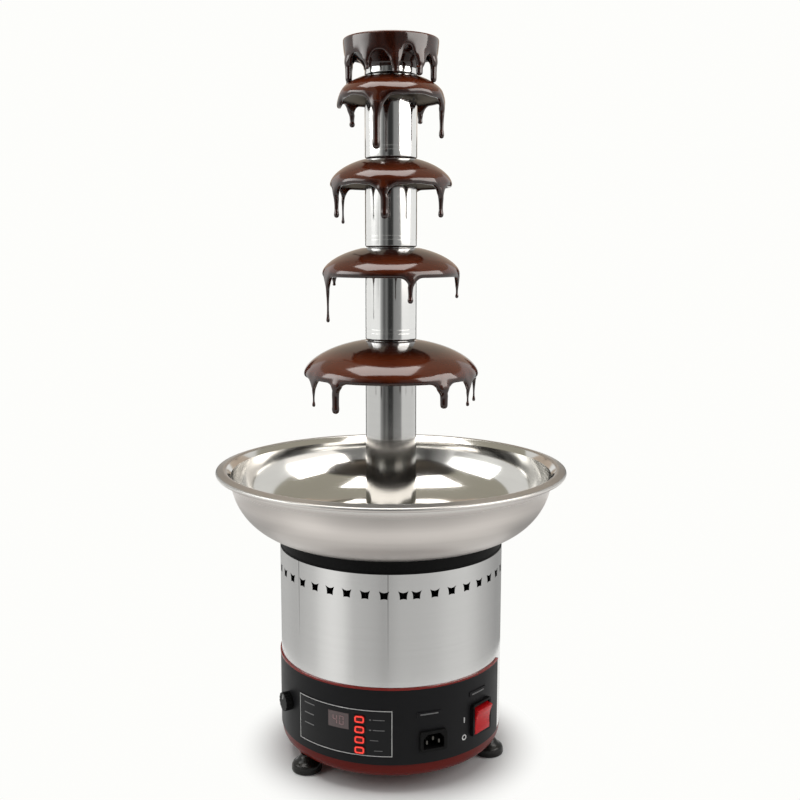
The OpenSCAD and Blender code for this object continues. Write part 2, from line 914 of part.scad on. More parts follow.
module basin_hub() {
    color([0.75, 0.75, 0.75])
        difference() {
            union() {
                post(hub_r, hub_low, basin_in + hub_h);
                post(hub_flange_r, basin_in + touch, basin_in + touch + hub_flange_h);
            }
            post(bushing_r + touch, hub_low - over, basin_in + hub_h + over);
        }
}

module hub_nut() {
    color([0.62, 0.62, 0.62])
        hex_nut(hub_nut_r, hub_r + touch, basin_z - touch - hub_nut_h, basin_z - touch);
}

module shaft_bushes() {
    color([0.72, 0.55, 0.30]) {
        ring(shaft_r + run, bushing_r, hub_low, basin_in + hub_h - seal_h - touch);
        ring(shaft_r + run, bushing_r, cover_z, plate_z - touch);
    }
}

module shaft_seal() {
    color([0.10, 0.10, 0.10])
        ring(shaft_r + run, bushing_r, basin_in + hub_h - seal_h, basin_in + hub_h);
}

module locating_pins() {
    color([0.75, 0.75, 0.75])
        for (az = locator_az)
            at(az) translate([0, -locator_at, 0]) post(locator_r, basin_in, basin_in + locator_h);
}

module heater_ring() {
    color([0.65, 0.65, 0.66]) ring(heater_r[0], heater_r[1], basin_z - touch - heater_h, basin_z - touch);
}

module thermostat() {
    color([0.85, 0.84, 0.80])
        at(thermostat_az)
            translate([0, -thermostat_at, 0])
                post(thermostat_r, basin_z - touch - thermostat_h, basin_z - touch);
}

// Drive

// Outline with a round end about each gear axis
module box_outline(r, z0, z1) {
    post(r, z0, z1);
    translate([0, centre_d, 0]) post(r, z0, z1);
    translate([-r, 0, z0]) cube([2 * r, centre_d, z1 - z0]);
}

module gearbox_housing() {
    color([0.55, 0.56, 0.58])
        difference() {
            union() {
                difference() {
                    union() {
                        box_outline(box_r, box_z, cover_z - touch);
                        ear_places() post(ear_r, cover_z - ear_t, cover_z - touch);
                        for (y = [0, centre_d])
                            translate([-ear_x, y - ear_r, cover_z - ear_t])
                                cube([2 * ear_x, 2 * ear_r, ear_t - touch]);
                    }
                    box_outline(box_in_r, box_z + box_floor_t, cover_z + over);
                }
                translate([0, centre_d, 0]) post(idler_pin_r, box_z + touch, cover_z + cover_t / 2 - touch);
            }
            post(motor_shaft_r + run, box_z - over, box_z + box_floor_t + over);
            ear_places() post(screw_r + touch, cover_z - ear_t - over, cover_z + over);
        }
}

module gearbox_cover() {
    color([0.55, 0.56, 0.58])
        difference() {
            union() {
                box_outline(box_r, cover_z, plate_z - touch);
                for (y = [0, centre_d])
                    translate([-ear_x, y - ear_r, cover_z]) cube([2 * ear_x, 2 * ear_r, cover_t - touch]);
                ear_places() post(ear_r, cover_z, plate_z - touch);
            }
            post(bushing_r + touch, cover_z - over, plate_z + over);
            translate([0, centre_d, 0]) post(idler_pin_r + touch, cover_z - over, cover_z + cover_t / 2);
            ear_places() post(screw_r + touch, cover_z - over, plate_z + over);
        }
}

module motor_can() {
    top = box_z - touch;
    color([0.30, 0.31, 0.33])
        difference() {
            post(motor_r, motor_z, top);
            post(motor_r - motor_wall, motor_z + motor_floor, top + over);
            post(motor_shaft_r + run, motor_z + motor_skin, top);
        }
}

module motor_stator() {
    outer = motor_r - motor_wall - touch;
    color([0.70, 0.42, 0.20])
        ring(outer - stator_t, outer, motor_z + stator_inset, box_z - stator_inset);
}

// Involute of an angle, in degrees
function involute(a) = tan(a) * 180 / PI - a;

// Outline of a gear with a tooth centred on the first axis
function gear_outline(teeth) =
    let(
        pitch_r = gear_m * teeth / 2,
        base_r = pitch_r * cos(pressure),
        tip_r = pitch_r + addendum,
        root_r = pitch_r - dedendum,
        low_r = max(base_r, root_r),
        half = 90 / teeth - backlash / 4 / pitch_r * 180 / PI,
        radii = [for (i = [0 : 3]) low_r + (tip_r - low_r) * i / 3],
        spread = [for (r = radii) half + involute(pressure) - involute(acos(min(1, base_r / r)))]
    )
    [for (t = [0 : teeth - 1]) let(mid = 360 * t / teeth)
        each concat(
            [root_r * [cos(mid - spread[0]), sin(mid - spread[0])]],
            [for (i = [0 : 3]) radii[i] * [cos(mid - spread[i]), sin(mid - spread[i])]],
            [for (i = [3 : -1 : 0]) radii[i] * [cos(mid + spread[i]), sin(mid + spread[i])]],
            [root_r * [cos(mid + spread[0]), sin(mid + spread[0])]]
        )];

// Gear with a bore, with a tooth or a gap facing the direction of angle a
module gear(teeth, bore, z0, z1, a, gap_first) {
    turn = a + (gap_first ? 180 / teeth : 0);
    difference() {
        translate([0, 0, z0]) rotate([0, 0, turn]) linear_extrude(z1 - z0) polygon(gear_outline(teeth));
        post(bore, z0 - over, z1 + over);
    }
}

module drive_shaft() {
    color([0.78, 0.78, 0.78])
        difference() {
            post(shaft_r, upper_z - touch, shaft_top);
            translate([0, 0, cross_pin_z])
                rotate([0, 90, 0]) cylinder(r = cross_pin_r + grip, h = shaft_d + 2 * over, center = true);
        }
}

module cross_pin() {
    color([0.60, 0.60, 0.60])
        translate([0, 0, cross_pin_z])
            rotate([0, 90, 0]) cylinder(r = cross_pin_r, h = cross_pin_len, center = true);
}

module output_gear() {
    color([0.80, 0.68, 0.36]) gear(wheel_teeth, shaft_r + grip, upper_z, upper_z + gear_w, 90, true);
}

module idler_gear() {
    color([0.80, 0.68, 0.36])
        translate([0, centre_d, 0]) {
            gear(wheel_teeth, idler_pin_r + run, lower_z, lower_z + gear_w, -90, true);
            gear(pinion_teeth, idler_pin_r + run, lower_z + gear_w - touch, upper_z + gear_w, -90, false);
        }
}

module motor_rotor() {
    core = motor_r - motor_wall - touch - stator_t - air_gap;
    color([0.45, 0.45, 0.47]) {
        post(motor_shaft_r, motor_z + motor_skin + seat, lower_z + gear_w);
        post(core, motor_z + stator_inset + rotor_play, box_z - stator_inset - rotor_play);
    }
}

module motor_pinion() {
    color([0.70, 0.70, 0.70])
        gear(pinion_teeth, motor_shaft_r + grip, lower_z + touch, lower_z + gear_w, 90, false);
}

// Auger

module auger_core() {
    color([0.76, 0.76, 0.76])
        difference() {
            union() {
                post(core_r, auger_z, core_top);
                translate([0, 0, core_top]) sphere(r = core_r);
            }
            post(shaft_r + run, auger_z - over, shaft_top + seat);
            translate([-core_d, -cross_pin_r - slot_gap, auger_z - over])
                cube([2 * core_d, 2 * (cross_pin_r + slot_gap), slot_top - auger_z + over]);
        }
}

module auger_flight() {
    turns = (flight_top - flight_low) / flight_pitch;
    count = round(turns * flight_sides);
    points = [for (i = [0 : count])
        let(a = 360 * i / flight_sides, z = flight_low + flight_pitch * i / flight_sides)
        each [for (p = [[flight_in, 0], [flight_r, 0], [flight_r, flight_t], [flight_in, flight_t]])
            [p[0] * cos(a), p[0] * sin(a), z + p[1]]]];
    sides = [for (i = [0 : count - 1]) for (s = [0 : 3]) let(p = 4 * i + s, q = 4 * i + (s + 1) % 4)
        each [[p, q, p + 4], [q, q + 4, p + 4]]];
    last = 4 * count;
    ends = [[0, 3, 2], [0, 2, 1], [last, last + 1, last + 2], [last, last + 2, last + 3]];
    color([0.76, 0.76, 0.76]) polyhedron(points = points, faces = [for (f = concat(sides, ends)) reversed(f)]);
}

// Tower

// Round-topped intakes at the foot of a tube
module intakes() {
    straight = arch_h - arch_w / 2;
    for (i = [0 : arch_count - 1])
        at(360 * i / arch_count, tower_z)
            outward(barrel_in - cut_reach, sleeve_r + cut_reach)
                polygon(concat(
                    [[arch_w / 2, -over]], arc(0, straight, arch_w / 2, 0, 180, 12), [[-arch_w / 2, -over]]
                ));
}

module barrel() {
    color([0.74, 0.74, 0.74])
        difference() {
            ring(barrel_in, barrel_r, tower_z, barrel_top);
            intakes();
        }
}

// Quarter curve of a rounded lower end, from radius r0 at z0 out to radius r1
function end_curve(r0, r1, z0, h) =
    [for (i = [0 : end_steps]) let(a = 90 * i / end_steps) [r0 + (r1 - r0) * sin(a), z0 + h * (1 - cos(a))]];

// Outside and inside of a tube whose lower end is rounded in to slide on the barrel
function end_outside(z0) = concat([[slip_r, z0]], end_curve(slip_r + sleeve_t, sleeve_r, z0, end_round));
function end_inside(z0) = reversed(end_curve(slip_r, sleeve_in, z0 + sleeve_t, end_round - sleeve_t));

// Fine line turned into a sleeve
module turned_line(z) {
    ring(sleeve_r - line_depth, sleeve_r + over, z, z + line_w);
}

module sleeve(k) {
    z0 = k == 0 ? tower_z : tier_top[k - 1] + seat;
    z1 = tier_top[k] - cap_t - touch;
    color([0.80, 0.80, 0.80])
        if (k == 0)
            difference() {
                ring(sleeve_in, sleeve_r, z0, z1);
                intakes();
            }
        else
            difference() {
                rotate_extrude()
                    polygon(concat(end_outside(z0), [[sleeve_r, z1], [sleeve_in, z1]], end_inside(z0)));
                turned_line(z0 + end_round);
                turned_line(z0 + line_rise);
            }
}

module tier(k) {
    outer = dome(shoulder_r, tier_r[k], tier_rim[k], tier_rise[k]);
    inner = dome(shoulder_r, tier_r[k] - tier_t, tier_rim[k], tier_rise[k] - cap_t);
    color([0.72, 0.72, 0.72])
        rotate_extrude()
            polygon(concat(outer, [[slip_r, tier_top[k]], [slip_r, tier_top[k] - cap_t]], reversed(inner)));
}

// One drop of chocolate hanging from z_top, with its tip at z_tip and a root no wider than room
module drip(z_top, z_tip, r, room) {
    neck = min(0.55 * r, room);
    flare = min(root_share * r, room);
    len = z_top - z_tip;
    fall = min(6, len / 3);
    bulb = min(1.6 * r, len / 3);
    profile = concat(
        [[0, z_top]],
        [for (i = [0 : 4]) [neck + (flare - neck) * pow(1 - i / 4, 2), z_top - fall * i / 4]],
        [for (i = [1 : 3]) [neck + (r - neck) * (1 - cos(60 * i)) / 2, z_tip + r + bulb * (1 - i / 3)]],
        arc(0, z_tip + r, r, -15, -90, 5)
    );
    rotate_extrude() polygon(profile);
}

// Places of drips round a rim of radius r
module hang(az, r) {
    at(az) translate([0, -r, 0]) children();
}

module coat(k) {
    r = tier_r[k] + coat_t;
    in_r = sleeve_r + coat_gap;
    rim = tier_rim[k] + rim_lift;
    top = tier_top[k] + coat_t;
    edge = tier_r[k] - tier_t - touch;
    outer = dome(shoulder_r, r, rim, top - rim);
    skin = [for (p = dome(shoulder_r, tier_r[k], tier_rim[k], tier_rise[k])) p + [touch, touch]];
    bead = [
        [tier_r[k] + touch, tier_rim[k] - touch], [edge, tier_rim[k] - touch], [edge, rim - rim_drop],
        [r - bead_in, rim - rim_drop - seat], [r - bead_out, rim - rim_drop / 2]
    ];
    color([0.24, 0.09, 0.05]) {
        rotate_extrude()
            polygon(concat(outer, [[in_r, top - coat_gap], [in_r, tier_top[k] + touch]], reversed(skin), bead));
        for (d = drips[k]) hang(d[0], tier_r[k]) drip(tier_rim[k] - drip_sink, rim - d[1], d[2], root_share * d[2]);
    }
}

// Crown

// Radius of the cup's outside at a share s of its depth
function cup_radius(s) = sleeve_r + (crown_r - sleeve_r) * pow(s, cup_power);

// Outline of the cup's outside from one of its steps to the rim, moved out and up
function cup_side(first, out, up) =
    [for (i = [first : cup_steps]) let(s = i / cup_steps) [cup_radius(s) + out, cup_z + crown_h * s + up]];

module crown_cup() {
    floor_z = cup_z - cup_floor_t;
    color([0.78, 0.78, 0.78])
        difference() {
            rotate_extrude()
                polygon(concat(
                    end_outside(neck_z), cup_side(0, 0, 0), reversed(cup_side(0, -cup_t, cup_rise)),
                    [[slip_r, cup_z + cup_rise], [slip_r, floor_z], [sleeve_in, floor_z]], end_inside(neck_z)
                ));
            turned_line(neck_z + end_round);
            turned_line(neck_z + line_rise);
        }
}

module crown_coat() {
    rim_r = crown_r + coat_t;
    drop_r = rim_r - stream_r;
    root_room = drop_r - cup_radius(1 - crown_drip_sink / crown_h) - touch;
    low_s = band_first / cup_steps;
    low_r = cup_radius(low_s);
    low_z = cup_z + crown_h * low_s;
    top_tier = tier_count - 1;
    top_rim = tier_rim[top_tier] + rim_lift;
    landing = dome_height(
        drop_r - stream_r, shoulder_r, tier_r[top_tier] + coat_t, top_rim, tier_top[top_tier] + coat_t - top_rim
    );
    skin = cup_side(band_first, touch, 0);
    inside = reversed(cup_side(0, -cup_t - touch, cup_rise + touch));
    pool = [[slip_r, cup_z + cup_rise + touch], [slip_r, crown_rim - pool_drop]];
    crest = [
        [crown_r - crest_w, crown_rim + crest_h / 2], [crown_r, crown_rim + crest_h],
        [rim_r, crown_rim - crest_h / 2], [rim_r - crest_h / 2, crown_rim - crest_w]
    ];
    band = [[low_r + band_t, low_z - crest_h], [low_r + crest_h / 2, low_z - crest_h]];
    color([0.24, 0.09, 0.05]) {
        rotate_extrude()
            polygon(concat(skin, [[crown_r, crown_rim + cup_rise + touch]], inside, pool, crest, band));
        for (d = crown_drips)
            hang(d[0], drop_r) drip(crown_rim - crown_drip_sink, crown_rim - d[1], d[2], root_room);
        for (az = crown_streams)
            hang(az, drop_r) drip(crown_rim - crown_drip_sink, landing + seat, stream_r, root_room);
    }
}

for (k = [0 : tier_count - 1]) {
    sleeve(k);
    tier(k);
    coat(k);
}
for (i = [0 : key_count - 1])
    key(i);
foot(0);  // foot_left
foot(1);  // foot_right
foot(2);  // foot_rear
base_tray();
foot_nuts();
drum_shell();
panel_plate();
panel_trim();
keypad_overlay();
display_window();
control_board();
board_posts();
inlet_housing();
inlet_pins();
switch_housing();
speed_control();
top_collar();
bridge_plate();
m4_screws();
basin();
basin_hub();
hub_nut();
shaft_bushes();
shaft_seal();
locating_pins();
heater_ring();
thermostat();
gearbox_housing();
gearbox_cover();
motor_can();
motor_stator();
drive_shaft();
cross_pin();
output_gear();
idler_gear();
motor_rotor();
motor_pinion();
auger_core();
auger_flight();
barrel();
crown_cup();
crown_coat();
rocker();
knob();
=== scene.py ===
# %% [markdown]
# # A chocolate fountain, dressed for its photograph
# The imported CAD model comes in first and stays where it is. It is the frame that every later piece is measured from,
# so nothing has to be fitted by eye. All lengths are metres, and +Z is up along the tower.

# %% Load the frame
import json
import math

import bpy
from mathutils import Matrix, Vector


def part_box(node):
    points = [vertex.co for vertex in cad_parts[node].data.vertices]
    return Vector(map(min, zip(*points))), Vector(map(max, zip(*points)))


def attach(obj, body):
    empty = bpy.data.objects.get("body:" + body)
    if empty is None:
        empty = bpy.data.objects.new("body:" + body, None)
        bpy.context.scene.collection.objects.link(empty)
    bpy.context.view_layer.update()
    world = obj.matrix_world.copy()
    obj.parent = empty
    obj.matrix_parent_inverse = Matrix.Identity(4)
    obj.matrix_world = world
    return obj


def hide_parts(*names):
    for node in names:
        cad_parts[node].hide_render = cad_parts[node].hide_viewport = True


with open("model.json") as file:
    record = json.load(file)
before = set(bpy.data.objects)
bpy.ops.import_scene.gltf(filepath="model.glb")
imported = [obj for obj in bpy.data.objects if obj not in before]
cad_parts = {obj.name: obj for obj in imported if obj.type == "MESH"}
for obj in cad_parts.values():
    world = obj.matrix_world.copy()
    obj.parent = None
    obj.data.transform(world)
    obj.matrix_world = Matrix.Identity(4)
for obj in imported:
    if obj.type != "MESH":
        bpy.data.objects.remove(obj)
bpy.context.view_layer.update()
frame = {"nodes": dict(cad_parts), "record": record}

scene = bpy.context.scene
scene.view_settings.view_transform = "Standard"
MM = 0.001

# %% [markdown]
# ## Camera
# A camera can be placed by eye until the picture looks right, or worked out from the rims of the basin and the tiers,
# whose ellipses say how high the lens was. The second way was used: the lens is level with the second tier, looks down
# by eight degrees, and the tower stands nine pixels left of the middle, which the shift takes up.

# %% Camera
LENS, LENS_AT, LOOK_DOWN = 46.5, (0, -1.169, 0.587), 8.43
OFF_MIDDLE, PICTURE_W = 9, 800


def fresh(operator, name=None, **settings):
    """Runs an operator that adds an object, with nothing else selected, and names what it added."""
    bpy.ops.object.select_all(action="DESELECT")
    operator(**settings)
    made = bpy.context.object
    if name:
        made.name = made.data.name = name
    return made


camera = fresh(bpy.ops.object.camera_add, location=LENS_AT, rotation=(math.radians(90 - LOOK_DOWN), 0, 0))
camera.data.lens = LENS
camera.data.shift_x = OFF_MIDDLE / PICTURE_W
scene.camera = camera
print("camera", tuple(round(v, 3) for v in camera.location), "lens", camera.data.lens)

# %% [markdown]
# ## Node helpers
# Materials are trees of nodes. A few small helpers keep the trees readable: one adds a node with its values and links
# in a single call, and the others do so for the nodes that turn up most.

# %% Node helpers


def fill(tree, node, inputs):
    """Gives each input of a node a plain value or another node's output."""
    for key, value in inputs.items():
        if isinstance(value, bpy.types.NodeSocket):
            tree.links.new(value, node.inputs[key])
        else:
            node.inputs[key].default_value = value


def add(tree, kind, inputs=(), **settings):
    """Adds a shader node with its inputs and settings."""
    node = tree.nodes.new("ShaderNode" + kind)
    for key, value in settings.items():
        setattr(node, key, value)
    fill(tree, node, dict(inputs))
    return node


def blend(tree, factor, first, second):
    """A colour between two colours."""
    return add(tree, "Mix", {0: factor, 6: first, 7: second}, data_type="RGBA").outputs[2]


def spread(tree, value, low, high, new_low, new_high):
    """A value moved from one range to another, and held inside it."""
    return add(tree, "MapRange", {0: value, 1: low, 2: high, 3: new_low, 4: new_high}).outputs[0]


def reckon(tree, operation, first, second=0.0):
    """One sum of the Math node."""
    return add(tree, "Math", {0: first, 1: second}, operation=operation).outputs[0]


def place(tree):
    """The point that is being shaded, in the axes of its piece."""
    return add(tree, "TexCoord").outputs["Object"]


def parts(tree, vector):
    """The x, y and z of a vector."""
    return add(tree, "SeparateXYZ", {0: vector}).outputs


def noise(tree, vector, scale, detail=2.0, **more):
    """Soft noise about 0.5."""
    return add(tree, "TexNoise", {"Vector": vector, "Scale": scale, "Detail": detail, **more}).outputs["Fac"]


def off_axis(tree):
    """The distance from the tower's axis."""
    flat = add(tree, "VectorMath", {0: place(tree), 1: (1, 1, 0)}, operation="MULTIPLY").outputs[0]
    return add(tree, "VectorMath", {0: flat}, operation="LENGTH").outputs["Value"]


def emptied(holder):
    """Turns on the nodes of a world or material, and gives its tree with nothing in it."""
    holder.use_nodes = True
    holder.node_tree.nodes.clear()
    return holder.node_tree


def show(tree, shader, kind="Material"):
    """Links a shader to the output of its tree."""
    tree.links.new(shader.outputs[0], tree.nodes.new("ShaderNodeOutput" + kind).inputs["Surface"])


# %% [markdown]
# ## Studio
# The photograph has no visible background: floor and backdrop are the same paper white. A curved backdrop would do it,
# but a floor that fades into a white world stays white from every side. Close to the feet the floor is plain matt
# paper, so it still takes the fountain's shadow.

# %% White world
PAPER = (0.985, 0.985, 0.965, 1)


def seen_directly(tree):
    """1 for rays that should meet the white paper: camera, mirror and glass rays."""
    path = add(tree, "LightPath").outputs
    mirror = reckon(tree, "MAXIMUM", path["Is Camera Ray"], path["Is Glossy Ray"])
    return reckon(tree, "MAXIMUM", mirror, path["Is Transmission Ray"])


scene.world = world = bpy.data.worlds.new("paper_studio")
tree = emptied(world)
shown = add(tree, "Background", {"Color": PAPER, "Strength": 1.0})
faint = add(tree, "Background", {"Color": (1, 0.99, 0.97, 1), "Strength": 0.10})
show(tree, add(tree, "MixShader", {0: seen_directly(tree), 1: faint.outputs[0], 2: shown.outputs[0]}), "World")
print("world", world.name)

# %% Paper floor
FLOOR_R, MATT_R, WHITE_R = 4, 0.112, 0.186
floor = fresh(bpy.ops.mesh.primitive_circle_add, "paper_floor", vertices=96, radius=FLOOR_R, fill_type="NGON")
paper = bpy.data.materials.new("floor_paper")
tree = emptied(paper)
fade = add(tree, "MapRange", {0: off_axis(tree), 1: MATT_R, 2: WHITE_R}, interpolation_type="SMOOTHSTEP").outputs[0]
sheet = blend(tree, noise(tree, place(tree), 900.0), (0.86, 0.86, 0.85, 1), (0.88, 0.88, 0.87, 1))
matt = add(tree, "BsdfDiffuse", {"Color": sheet})
glow = add(tree, "Emission", {"Color": PAPER, "Strength": 1.0})
share = reckon(tree, "MULTIPLY", fade, seen_directly(tree))
show(tree, add(tree, "MixShader", {0: share, 1: matt.outputs[0], 2: glow.outputs[0]}))
floor.data.materials.append(paper)
print("floor", floor.name, "radius", FLOOR_R)

# %% [markdown]
# ## Lamps and cards
# Polished metal is lit by what it mirrors. Soft boxes over and beside the fountain give the window-like shine on the
# chocolate. Curved cards stand round it and give the dark and grey bands that make tubes and drum look round, and a
# large warm grey ceiling, with a dark sheet over the camera, keeps the basin and the domes from mirroring plain white.
# A bright pane before each box makes its mirror image stronger than its light, and the lower part of a side pane is
# weaker, so the tubes keep some grey. Cards, panes and ceiling are met by mirror rays alone and cast no shadow.
# A card is a line that is spun round the axis: one vertex, extruded from point to point as one would click it.

# %% Soft boxes


def soft_box(name, at, aim, width, height, watts):
    """A rectangular lamp that faces a point."""
    lamp = fresh(bpy.ops.object.light_add, name, type="AREA", location=at)
    lamp.data.shape = "RECTANGLE"
    lamp.data.size, lamp.data.size_y = width, height
    lamp.data.energy = watts
    lamp.rotation_euler = (Vector(aim) - Vector(at)).to_track_quat("-Z", "Y").to_euler()
    return lamp


boxes = [
    soft_box("box_over", (-0.2, -0.24, 2.0), (-0.2, -0.2399, 0), 1.55, 1.12, 28),
    soft_box("box_left", (-1.46, -0.34, 0.95), (0, 0, 0.6), 1.35, 1.0, 8.5),
    soft_box("box_right", (1.38, -0.59, 1.05), (0, 0, 0.6), 1.6, 1.2, 11.5),
]
print("lamps", len(bpy.data.lights))

# %% Cards and ceiling


def spot(az, r, z):
    """The point at an azimuth from the front, a radius and a height."""
    a = math.radians(az)
    return Vector((r * math.sin(a), -r * math.cos(a), z))


def mode(name):
    """Switches between object mode and edit mode."""
    bpy.ops.object.mode_set(mode=name)


def take_all(kind="VERT"):
    """Selects the whole mesh in edit mode, by its vertices or its faces."""
    bpy.ops.mesh.select_mode(type=kind)
    bpy.ops.mesh.select_all(action="SELECT")


def trace(name, outline, az=0.0, closed=True):
    """A wire through (radius, height) points at one azimuth, left open in edit mode."""
    points = [spot(az, r, z) for r, z in outline]
    if closed:
        points.append(points[0])
    piece = fresh(bpy.ops.mesh.primitive_plane_add, name, size=MM)
    mode("EDIT")
    take_all()
    bpy.ops.mesh.merge(type="CENTER")
    bpy.ops.transform.translate(value=points[0])
    for here, there in zip(points, points[1:]):
        bpy.ops.mesh.extrude_vertices_move(TRANSFORM_OT_translate={"value": there - here})
    take_all()
    bpy.ops.mesh.remove_doubles(threshold=0.001 * MM)
    return piece


def spin(degrees, steps):
    """Spins the selected wire round the axis, the way azimuths grow."""
    bpy.ops.mesh.spin(steps=steps, angle=-math.radians(degrees), center=(0, 0, 0), axis=(0, 0, 1))


def azimuth(tree):
    """The angle round the axis from the front, in radians."""
    x, y, _ = parts(tree, place(tree))
    return reckon(tree, "ARCTAN2", x, reckon(tree, "MULTIPLY", y, -1.0))


def mirrored_only(piece, paint):
    """Gives a card its paint and lets only mirror rays meet it."""
    piece.data.materials.append(paint)
    for ray in ("camera", "diffuse", "shadow", "transmission", "volume_scatter"):
        setattr(piece, "visible_" + ray, False)


# The heights between which a side pane gains its strength
WEAK_Z, STRONG_Z = 0.70, 0.88


def glowing(name, stops=None, colour=(1, 1, 1, 1), strength=1.0, low=None):
    """Card paint: one even colour, or greys that change with the azimuth. A pane can be weaker in its lower part."""
    paint = bpy.data.materials.new(name)
    tree = emptied(paint)
    flat = add(tree, "Emission", {"Color": colour, "Strength": strength})
    if low:
        z = parts(tree, place(tree))[2]
        fill(tree, flat, {"Strength": spread(tree, z, WEAK_Z, STRONG_Z, low, strength)})
    if stops:
        ramp = add(tree, "ValToRGB", {0: spread(tree, azimuth(tree), -math.pi, math.pi, 0.0, 1.0)})
        for az, grey in stops:
            stop = ramp.color_ramp.elements.new((az + 180) / 360)
            stop.color = (grey, grey, grey * 0.98, 1)
        for end in (0, -1):
            ramp.color_ramp.elements[end].color = (1, 1, 1, 1)
        fill(tree, flat, {"Color": ramp.outputs[0]})
    show(tree, flat)
    return paint


def card(name, az_from, az_to, r, low, high, paint):
    """A curved upright card between two azimuths."""
    piece = trace(name, [(r, low), (r, high)], az_from, closed=False)
    spin(az_to - az_from, 24)
    mode("OBJECT")
    mirrored_only(piece, paint)


# Each stop: azimuth and grey
TOWER = ((-51, 0.95), (-46, 0.45), (-31, 0.09), (-19, 0.20), (-10, 0.03), (7, 0.04), (13, 0.26), (44, 0.33), (51, 0.95))
DRUM = (
    (-150, 0.48), (-118, 0.60), (-95, 0.56), (-71, 0.70), (-60, 0.93), (-50, 1.0), (-41, 0.90), (-32, 0.63),
    (-14, 0.55), (-5, 0.45), (6, 0.59), (26, 0.61), (38, 0.65), (50, 0.75), (68, 0.79), (78, 0.72), (92, 0.58),
    (118, 0.40), (150, 0.36),
)
FAR_R, LOW_Z = 1.75, -0.2
card("card_front", -52, 52, FAR_R, LOW_Z, 1.5, glowing("tower_bands", TOWER))
card("card_low", -150, 150, 0.38, 0.0, 0.21, glowing("drum_bands", DRUM))
for side, az in (("left", 200), ("right", 146)):
    dark = glowing("back_dark_" + side, colour=(0.03, 0.03, 0.03, 1))
    card("card_back_" + side, az, az + 14, FAR_R, LOW_Z, 0.88, dark)
card("card_back_high", 150, 210, FAR_R + 0.01, 0.6, 2.4, glowing("back_olive", colour=(0.64, 0.53, 0.43, 1)))
ceiling = fresh(
    bpy.ops.mesh.primitive_circle_add, "ceiling", vertices=64, radius=3.4, fill_type="NGON", location=(0, 0, 2.4)
)
mirrored_only(ceiling, glowing("warm_ceiling", colour=(0.46, 0.435, 0.36, 1)))
dark_sheet = fresh(bpy.ops.mesh.primitive_plane_add, "dark_sheet", size=2.6, location=(0, -2.12, 2.39))
mirrored_only(dark_sheet, glowing("dark_front", colour=(0.03, 0.027, 0.024, 1)))

# %% Window panes
PANE_GAP, PANE_STRENGTH, PANE_COLOUR = 0.02, 6.4, (1, 0.965, 0.925, 1)
LEFT = ((-110, 0.7), (-95, 0.95), (-80, 1.0), (-68, 0.8), (-53, 0.42))
bpy.context.view_layer.update()
for box, stops, low in zip(boxes, (None, LEFT, None), (None, 1.15, 1.5)):
    pane = fresh(bpy.ops.mesh.primitive_plane_add, box.name.replace("box", "pane"), size=1)
    size = Matrix.Diagonal((box.data.size, box.data.size_y, 1, 1))
    pane.matrix_world = box.matrix_world @ Matrix.Translation((0, 0, -PANE_GAP)) @ size
    bpy.ops.object.transform_apply(location=True, rotation=True, scale=True)
    mirrored_only(pane, glowing(pane.name + "_light", stops, PANE_COLOUR, PANE_STRENGTH, low))
print("panes", len(boxes))

# %% [markdown]
# ## Shared effects
# Four effects turn up on several finishes: the fine grain of worked metal, the faint smears that hands and cloths
# leave, the tiny pebbling of moulded plastic, and the pale wear on edges. Each is a node group that gives out plain
# values, and each finish decides what to do with them.

# %% Grain of worked metal


def start_group(name, given, value, outputs):
    """A new node group with one value given: its tree, the sockets that come in and the sockets that go out."""
    tree = bpy.data.node_groups.new(name, "ShaderNodeTree")
    kind = "NodeSocketVector" if isinstance(value, tuple) else "NodeSocketFloat"
    tree.interface.new_socket(given, in_out="INPUT", socket_type=kind).default_value = value
    for title in outputs:
        tree.interface.new_socket(title, in_out="OUTPUT", socket_type="NodeSocketFloat")
    return tree, tree.nodes.new("NodeGroupInput").outputs, tree.nodes.new("NodeGroupOutput").inputs


grain, given, out = start_group("metal_grain", "Scale", (40, 40, 2000), ["Height", "Shade"])
stretched = add(grain, "Mapping", {"Vector": place(grain), "Scale": given["Scale"]}).outputs[0]
grain.links.new(noise(grain, stretched, 1.0, 3.0, Roughness=0.65), out["Height"])
grain.links.new(noise(grain, stretched, 0.12), out["Shade"])

# %% Smears
smears, given, out = start_group("smears", "Scale", 14.0, ["Mask"])
soft = noise(smears, place(smears), given["Scale"], 4.0, Distortion=0.6)
smears.links.new(spread(smears, soft, 0.35, 0.7, 0.0, 1.0), out["Mask"])

# %% Pebbled plastic
pebble, given, out = start_group("pebble", "Scale", 1400.0, ["Height", "Shade"])
here = place(pebble)
cells = add(pebble, "TexVoronoi", {"Vector": here, "Scale": given["Scale"]}, feature="SMOOTH_F1")
pebble.links.new(cells.outputs["Distance"], out["Height"])
pebble.links.new(noise(pebble, here, 45.0, 3.0), out["Shade"])

# %% Worn edges
wear, given, out = start_group("worn_edges", "Amount", 0.5, ["Mask"])
edge = spread(wear, add(wear, "NewGeometry").outputs["Pointiness"], 0.53, 0.62, 0.0, 1.0)
broken = spread(wear, noise(wear, place(wear), 160.0, 4.0), 0.35, 0.65, 0.0, 1.0)
patchy = reckon(wear, "MULTIPLY", edge, broken)
wear.links.new(reckon(wear, "MULTIPLY", patchy, given["Amount"]), out["Mask"])
print("effects", [g.name for g in bpy.data.node_groups])

# %% [markdown]
# ## Steel
# Four steels show on the fountain: the satin drum, the mirror basin, the bright drawn tubes and the sheet under the
# tiers, which is dark with a film of chocolate. They are one recipe with different numbers, and the other metals inside
# use it too. The grain runs round a drum that was rolled, so its scale is long around the axis and fine along it.

# %% Steel finishes


def opened(material):
    """A finish's node tree and its shader."""
    return material.node_tree, material.node_tree.nodes["Principled BSDF"]


